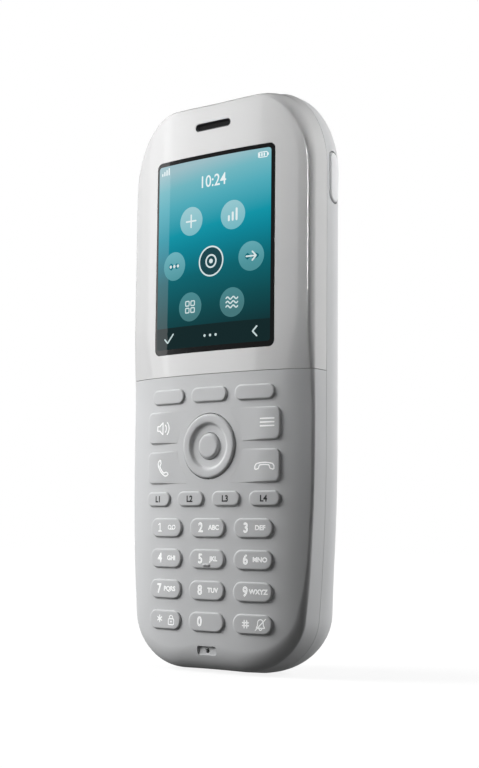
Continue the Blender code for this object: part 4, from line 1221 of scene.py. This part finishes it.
class HANDSET_OT_navigation(bpy.types.Operator):
    """Dished navigation ring and the select key in its middle"""
    bl_idname = "handset.navigation"
    bl_label = "Navigation Ring"

    def execute(self, context):
        height, radius = nav_place()
        hole = SELECT_RADIUS + context.scene.handset_keys.rocking_gap
        edge, floor, round_off = NAV_LIP
        profile = [(hole, NAV_WALL), (hole, edge), (hole + round_off, floor), *NAV_DISH]
        for turn in np.linspace(math.pi / 2, 0, 9):
            profile.append((radius - NAV_BEVEL * (1 - math.cos(turn)), NAV_EDGE - NAV_RISE * math.sin(turn)))
        profile.append((radius, NAV_WALL))
        rings = [at_depth(circle_loop(0, height, across, 120), depth) for across, depth in profile]
        ring = mesh_piece("nav_ring_cap", [loft([*rings, rings[0]])], silver_paint())
        on_body(ring, "nav_ring", "key_plastic", "nav_ring")
        loop = circle_loop(0, height, SELECT_RADIUS, 96)
        rings = [at_depth(loop, SELECT_WALL), at_depth(loop, SELECT_SKIN)]
        for turn in np.linspace(0, math.pi / 2, 8)[1:]:
            rings.append(at_depth(grown(loop, -SELECT_EDGE * (1 - math.cos(turn) ** SELECT_POWER)),
                                  SELECT_SKIN - SELECT_EDGE * math.sin(turn) ** SELECT_POWER))
        rings += closing(rings[-1], (0.8, 0.5, 0.2), lambda ring: ring)
        select = mesh_piece("select_key_cap", [capped(rings)], silver_paint())
        on_body(select, "select_key", "key_plastic", "select_key")
        return {"FINISHED"}


# Display: border is (left, right, top, bottom), stops are (share of the way down, sRGB hex)
BORDER = (0.0007, 0.0011, 0.0011, 0.0014)
PICTURE_CORNER = 0.0008
PICTURE_DRIFT = 2.6
STRIP_SHARE = 0.885
STRIP_MARKS = 0.0027
LAYER_STEP = 0.000015
PICTURE_STOPS = ((0.0, "#A2C3CB"), (0.10, "#72B9C4"), (0.20, "#52AEBD"), (0.36, "#0795A8"), (0.44, "#008699"),
                 (0.60, "#00646F"), (0.78, "#034A50"), (0.88, "#053B40"), (0.99, "#0A2426"))
TILE_STOPS = ((0.0, "#CBE3E7"), (0.22, "#A3D0D7"), (0.42, "#74BAC5"), (0.62, "#4E959D"), (0.85, "#45787C"))
TILE_RADIUS = 0.0038
TILE_ROWS = ((0.1155, (-0.0068, 0.0068)), (0.1042, (-0.0125, 0.0, 0.0125)), (0.0929, (-0.0068, 0.0068)))
CHOSEN_TILE = (0.0, 0.1042)
CHOSEN_STOPS = ((0.0, "#1A4E58"), (1.0, "#123A40"))
SIGN_STOPS = ((0.0, "#F2FAFB"), (1.0, "#C9DCDD"))
DISPLAY_LAYERS = ("display_window", "display_picture", "display_tiles", "display_chosen_tile",
                  "display_signs")


def picture_box():
    """Left, right, low and high border of the lit picture."""
    low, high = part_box("display_lens")
    left, right, top, bottom = BORDER
    return low.x + left, high.x - right, low.z + bottom, high.z - top


def picture_loop():
    """Border of the lit picture as a loop."""
    left, right, low, high = picture_box()
    return rounded_loop((left + right) / 2, (low + high) / 2, right - left, high - low, PICTURE_CORNER, 6, 30)


def above(layer):
    """Depth function of a picture layer, each one step in front of the one below."""
    return lambda x, z: crown(x, z) - LAYER_STEP * layer


def sheet_part(loop, depth):
    """Thin closed sheet inside a loop that follows a depth function."""
    border = at_depth(loop, lambda x, z: depth(x, z) + INK / 2)
    return capped([border, *closing(loop, np.linspace(1, 0, 12)[:-1], lambda ring: at_depth(ring, depth))])


def tile_signs(front):
    """One plain sign on each round tile: plus, bars, dots, ring, arrow, squares and waves."""
    (high, (a, b)), (mid, (c, d, e)), (low, (f, g)) = TILE_ROWS
    width, foot = 0.00042, high - 0.0013
    marks = [stroke(turned(dense([(-0.0016, 0), (0.0016, 0)]), angle, a, high), width, front)
             for angle in (0, 90)]
    marks += [line([(x, foot), (x, foot + rise)], 0.0006, front)
              for x, rise in ((b - 0.0012, 0.0010), (b, 0.0018), (b + 0.0012, 0.0027))]
    marks += [disc(c + step * 0.0013, mid, width, front, 24) for step in (-1, 0, 1)]
    marks += [stroke(circle_loop(d, mid, 0.0016, 40), width, front, True), disc(d, mid, 0.0006, front, 24)]
    head = [(e + 0.0004, mid + 0.0011), (e + 0.0015, mid), (e + 0.0004, mid - 0.0011)]
    marks += [line([(e - 0.0014, mid), (e + 0.0014, mid)], width, front), line(head, width, front)]
    squares = [rounded_loop(f + p * 0.0009, low + q * 0.0009, 0.0012, 0.0012, 0.0002, 4, 4)
               for p in (-1, 1) for q in (-1, 1)]
    marks += [stroke(square, 0.0003, front, True) for square in squares]
    across = np.linspace(-0.0018, 0.0018, 33)
    wave = np.stack([g + across, low + 0.0003 * np.sin(across * 3500)], axis=1)
    return marks + [stroke(wave + (0, row * 0.0011), 0.00036, front) for row in (-1, 0, 1)]


def status_signs(front):
    """Clock numbers above, battery and signal marks in the top corners, and marks in the dark strip."""
    left, right, low, high = picture_box()
    width, strip = 0.0004, low + STRIP_MARKS
    cell = rounded_loop(right - 0.0024, high - 0.0017, 0.0026, 0.0013, 0.0003, 5, 5)
    pole, charge, signal = right - 0.00085, right - 0.0034, left + 0.0012
    bars = [[(charge + step * 0.0007, high - 0.00195), (charge + step * 0.0007, high - 0.00145)]
            for step in range(3)]
    foot = high - 0.0023
    bars += [[(signal + step * 0.0008, foot), (signal + step * 0.0008, foot + 0.0004 * (step + 1))]
             for step in range(4)]
    tick = [(left + 0.0030, strip), (left + 0.0040, strip - 0.0010), (left + 0.0060, strip + 0.0012)]
    arrow = [(right - 0.0038, strip + 0.0012), (right - 0.0050, strip), (right - 0.0038, strip - 0.0012)]
    return [text_part("10:24", 0.0006, high - 0.0062, front, CLOCK_TYPE),
            stroke(cell, 0.00022, front, True),
            line([(pole, high - 0.0019), (pole, high - 0.0015)], 0.00026, front, 3),
            *(line(bar, width, front, 3) for bar in bars), line(tick, width, front),
            *(disc(step * 0.0018, strip, 0.00036, front, 20) for step in (-1, 0, 1)),
            line(arrow, width, front)]


class HANDSET_OT_display(bpy.types.Operator):
    """Black printed window border and the lit picture"""
    bl_idname = "handset.display"
    bl_label = "Display"

    def execute(self, context):
        glow = context.scene.handset_display.glow
        window, picture, pale, chosen, signs = DISPLAY_LAYERS
        piece = mesh_piece(window, [solid_window()], black_glass())
        on_body(piece, "housing", "display_glass", "display_lens")
        places = [(x, z) for z, row in TILE_ROWS for x in row if (x, z) != CHOSEN_TILE]
        tiles = [disc(x, z, TILE_RADIUS, above(2)) for x, z in places]
        chosen_tile = [disc(*CHOSEN_TILE, TILE_RADIUS, above(2))]
        ring = stroke(circle_loop(*CHOSEN_TILE, TILE_RADIUS, 72), 0.0004, above(3), True)
        marks = [ring, *tile_signs(above(3)), *status_signs(above(3))]
        layers = ((picture, [sheet_part(picture_loop(), above(1))], "lit display picture", PICTURE_STOPS),
                  (pale, tiles, "lit display tiles", TILE_STOPS),
                  (chosen, chosen_tile, "lit display chosen tile", CHOSEN_STOPS),
                  (signs, marks, "lit display signs", SIGN_STOPS))
        for name, parts, paint, stops in layers:
            piece = mesh_piece(name, parts, screen_paint(paint, stops, glow))
            on_body(piece, "housing", "display_glass")
        return {"FINISHED"}


def solid_window():
    """Window slab: straight sides and a front that follows the crown."""
    loop = window_loop()
    front = closing(loop, np.linspace(1, 0, 12)[1:-1], lambda ring: at_depth(ring, crown))
    return capped([at_depth(loop, WINDOW_DEPTH), at_depth(loop, crown), *front])


# Finishes of the nodes that show as they are: name, colour, roughness, grain, bump, drift and metal share
INSIDE = (
    (("green solder mask on glass fibre", "#0F4A2C", 0.35, 0.0008, 0.1, 0.3), ("main_board", "antenna")),
    (("grey moulded silicone", "#8C8D8F", 0.6, 0.0004, 0.1, 0.05),
     ("keypad_mat", "microphone_boot", "housing_seal")),
    (("white moulded ABS", "#E3E3E1", 0.45, 0.0003, 0.08, 0.03), ("lcd_holder", "nav_actuator")),
    (("zinc plated steel", "#B9BCC0", 0.3, 0.0002, 0.15, 0.08, 1.0),
     ("earpiece_receiver", "microphone", "vibration_motor", *SCREWS)),
    (("gold plated spring bronze", "#D9B25A", 0.25, 0.0002, 0.1, 0.06, 1.0), ("battery_contacts", *CONTACTS)),
    (("dark shrink wrap on battery", "#22262D", 0.4, 0.0006, 0.1, 0.1), ("battery_pack",)),
    (("black pulp speaker cone", "#161617", 0.75, 0.0004, 0.4, 0.2), ("loudspeaker",)),
    (("display module glass and frame", "#2C2F31", 0.2, 0.0006, 0.02, 0.1), ("lcd_module",)),
    (("black moulded ABS", "#1B1C1E", 0.45, 0.0003, 0.1, 0.1), ("side_switch",)),
    (("black acoustic mesh", "#0A0A0B", 0.7, 0.00025, 0.8, 0.4), ("earpiece_mesh",)),
)


class HANDSET_OT_inside(bpy.types.Operator):
    """Finishes of the inner parts that keep their own shapes"""
    bl_idname = "handset.inside"
    bl_label = "Inner Parts"

    def execute(self, context):
        for paint, names in INSIDE:
            for slot in (slot for name in names for slot in frame["nodes"][name].material_slots):
                slot.material = moulded(*paint)
        return {"FINISHED"}


# Lights: place, target, (width, height), power in watts, and further settings
LIGHTS = {
    "key_panel": ((-0.524, -0.303, 0.40), MIDDLE, (0.35, 0.45), 8.4, {"mirrored": False}),
    "band_panel": ((-0.281, -0.193, 0.20), MIDDLE, (0.06, 0.55), 0.125, {"lighting": False}),
    "front_panel": ((-0.209, -0.268, 0.181), (0, 0, 0.181), (0.19, 0.162), 0.14, {"lighting": False}),
    "side_strip": ((0.272, -0.419, 0.25), (0.03, 0, 0.12), (0.08, 0.14), 1.2, {"lighting": False}),
    "rim_panel": ((0.32, 0.38, 0.22), MIDDLE, (0.25, 0.50), 3.6, {"mirrored": False}),
    "top_fill": ((0.13, -0.16, 0.26), (0.015, 0, 0.135), (0.06, 0.06), 0.014,
                 {"mirrored": False, "spread": 48}),
}


class HANDSET_OT_stage(bpy.types.Operator):
    """Pale floor, soft studio lights, white surround and the camera"""
    bl_idname = "handset.stage"
    bl_label = "Stage"

    def execute(self, context):
        stage = context.scene.handset_stage
        make_world(context.scene, stage.ambient)
        make_floor()
        for name, (place_at, target, size, power, options) in LIGHTS.items():
            soft_light(name, place_at, target, size, power, **options)
        spare("front_panel", DISPLAY_LAYERS)
        make_camera(context.scene, stage)
        context.scene.view_settings.view_transform = "Standard"
        return {"FINISHED"}


def soft_light(name, place_at, target, size, power, mirrored=True, lighting=True, spread=180):
    """Rectangular soft light aimed at a point; it may be left out of reflections or of the lighting."""
    data = bpy.data.lights.new(name, "AREA")
    data.shape = "RECTANGLE"
    data.size, data.size_y = size
    data.energy = power
    data.spread = math.radians(spread)
    lamp = bpy.data.objects.new(name, data)
    bpy.context.scene.collection.objects.link(lamp)
    lamp.visible_glossy = mirrored
    lamp.visible_diffuse = lighting
    lamp.visible_camera = False
    away = Vector(place_at) - Vector(target)
    lamp.matrix_world = Matrix.Translation(place_at) @ away.to_track_quat("Z", "Y").to_matrix().to_4x4()


def spare(light, names):
    """Leave the named pieces out of a light, as a coated glass leaves out a reflection."""
    spared = bpy.data.collections.new(light + "_spares")
    for name in names:
        spared.objects.link(bpy.data.objects[name])
    for entry in spared.collection_objects:
        entry.light_linking.link_state = "EXCLUDE"
    bpy.data.objects[light].light_linking.receiver_collection = spared


def make_world(scene, ambient):
    """White to the eye and a low grey as light.

    Reflections show white behind the object and a dim room before it.
    """
    world = bpy.data.worlds.new("white surround")
    world.use_nodes = True
    tree = world.node_tree
    tree.nodes.clear()
    path = add_node(tree, "ShaderNodeLightPath").outputs
    where = add_node(tree, "ShaderNodeTexCoord").outputs["Generated"]
    split = add_node(tree, "ShaderNodeSeparateXYZ", {"Vector": where})
    room = mapped(tree, split.outputs["Y"], ROOM_FADE, (ROOM_LEVEL, 1.0))
    shine = maths(tree, "MULTIPLY", path["Is Glossy Ray"], room)
    seen = maths(tree, "MAXIMUM", path["Is Camera Ray"], path["Is Transmission Ray"])
    level = maths(tree, "MAXIMUM", maths(tree, "MAXIMUM", seen, shine), ambient)
    light = add_node(tree, "ShaderNodeBackground", {"Strength": level}, {"Color": (1, 1, 1, 1)})
    output = add_node(tree, "ShaderNodeOutputWorld", {"Surface": light.outputs["Background"]})
    output.is_active_output = True
    scene.world = world


def floor_paint():
    """Pale studio floor: white to the eye with a faint trace of the shadow, a dim grey as light."""
    made, tree, output = new_material("pale studio floor")
    path = add_node(tree, "ShaderNodeLightPath").outputs
    where = add_node(tree, "ShaderNodeTexCoord").outputs["Object"]
    away = add_node(tree, "ShaderNodeVectorMath", {0: where}, operation="LENGTH")
    plain = mapped(tree, away.outputs["Value"], FLOOR_FADE, (FLOOR_NEAR, 1.0))
    mirrored = maths(tree, "MULTIPLY", path["Is Glossy Ray"], FLOOR_SHINE)
    seen = maths(tree, "MAXIMUM", path["Is Camera Ray"], mirrored)
    share = maths(tree, "MULTIPLY", seen, plain)
    tone = add_node(tree, "ShaderNodeMix", {"Factor": path["Is Camera Ray"]}, data_type="RGBA")
    tone.inputs[6].default_value = linear("#4C4C4C")
    tone.inputs[7].default_value = linear("#F0F0F0")
    matte = add_node(tree, "ShaderNodeBsdfDiffuse", {"Color": tone.outputs[2]})
    white = add_node(tree, "ShaderNodeEmission", values={"Color": (1, 1, 1, 1), "Strength": FLOOR_WHITE})
    mixed = add_node(tree, "ShaderNodeMixShader", {0: share, 1: matte.outputs[0], 2: white.outputs[0]})
    tree.links.new(mixed.outputs[0], output.inputs["Surface"])
    return made


def make_floor():
    """Flat floor under the object, as a grid so that its shading stays even."""
    side = np.linspace(-FLOOR_HALF, FLOOR_HALF, 9)
    x, y = np.meshgrid(side, side, indexing="xy")
    points = np.stack([x, y, np.full_like(x, -FLOOR_DROP)], axis=-1)
    mesh = bpy.data.meshes.new("studio_floor")
    mesh.from_pydata(points.reshape(-1, 3).tolist(), [], grid_faces(9, 9, False).tolist())
    mesh.materials.append(floor_paint())
    floor = bpy.data.objects.new("studio_floor", mesh)
    bpy.context.scene.collection.objects.link(floor)


def make_camera(scene, stage):
    """Camera of the photograph: azimuth, pitch and roll give its axes, the focal length its lens."""
    azimuth, pitch, roll = stage.camera_turn
    level = math.cos(pitch)
    ahead = np.array([-math.sin(azimuth) * level, math.cos(azimuth) * level, math.sin(pitch)])
    right = np.array([math.cos(azimuth), math.sin(azimuth), 0.0])
    up = np.cross(right, ahead)
    turned_right = math.cos(roll) * right + math.sin(roll) * up
    turned_up = math.cos(roll) * up - math.sin(roll) * right
    data = bpy.data.cameras.new("photo_camera")
    data.sensor_width = 36.0
    data.lens = stage.focal_pixels * data.sensor_width / max(PHOTO)
    data.clip_start = 0.01
    camera = bpy.data.objects.new("photo_camera", data)
    scene.collection.objects.link(camera)
    turn = Matrix((turned_right, turned_up, -ahead)).transposed().to_4x4()
    camera.matrix_world = Matrix.Translation(stage.camera_place) @ turn
    scene.camera = camera


class HANDSET_PT_panel(bpy.types.Panel):
    """Lists the handset's pieces and settings"""
    bl_idname = "HANDSET_PT_panel"
    bl_label = "Cordless Handset"
    bl_space_type = "VIEW_3D"
    bl_region_type = "UI"
    bl_category = "Handset"

    def draw(self, context):
        for operator in OPERATORS:
            self.layout.operator(operator.bl_idname)
        for field in SETTINGS:
            group = getattr(context.scene, field)
            for name in group.bl_rna.properties.keys():
                if name not in ("rna_type", "name"):
                    self.layout.prop(group, name)


SETTINGS = {"handset_shell": ShellSettings, "handset_keys": KeySettings, "handset_display": DisplaySettings,
            "handset_stage": StageSettings}
OPERATORS = (HANDSET_OT_keypad_cover, HANDSET_OT_display_cover, HANDSET_OT_back_shell,
             HANDSET_OT_battery_door, HANDSET_OT_side_button, HANDSET_OT_earpiece, HANDSET_OT_keys,
             HANDSET_OT_key_marks, HANDSET_OT_navigation, HANDSET_OT_display, HANDSET_OT_inside,
             HANDSET_OT_stage)


def register():
    for group in SETTINGS.values():
        bpy.utils.register_class(group)
    for field, group in SETTINGS.items():
        setattr(bpy.types.Scene, field, bpy.props.PointerProperty(type=group))
    for kind in (*OPERATORS, HANDSET_PT_panel):
        bpy.utils.register_class(kind)


def unregister():
    for kind in (HANDSET_PT_panel, *reversed(OPERATORS)):
        bpy.utils.unregister_class(kind)
    for field, group in SETTINGS.items():
        delattr(bpy.types.Scene, field)
        bpy.utils.unregister_class(group)


def main():
    register()
    for operator in OPERATORS:
        space, name = operator.bl_idname.split(".")
        getattr(getattr(bpy.ops, space), name)()


if __name__ == "__main__":
    main()
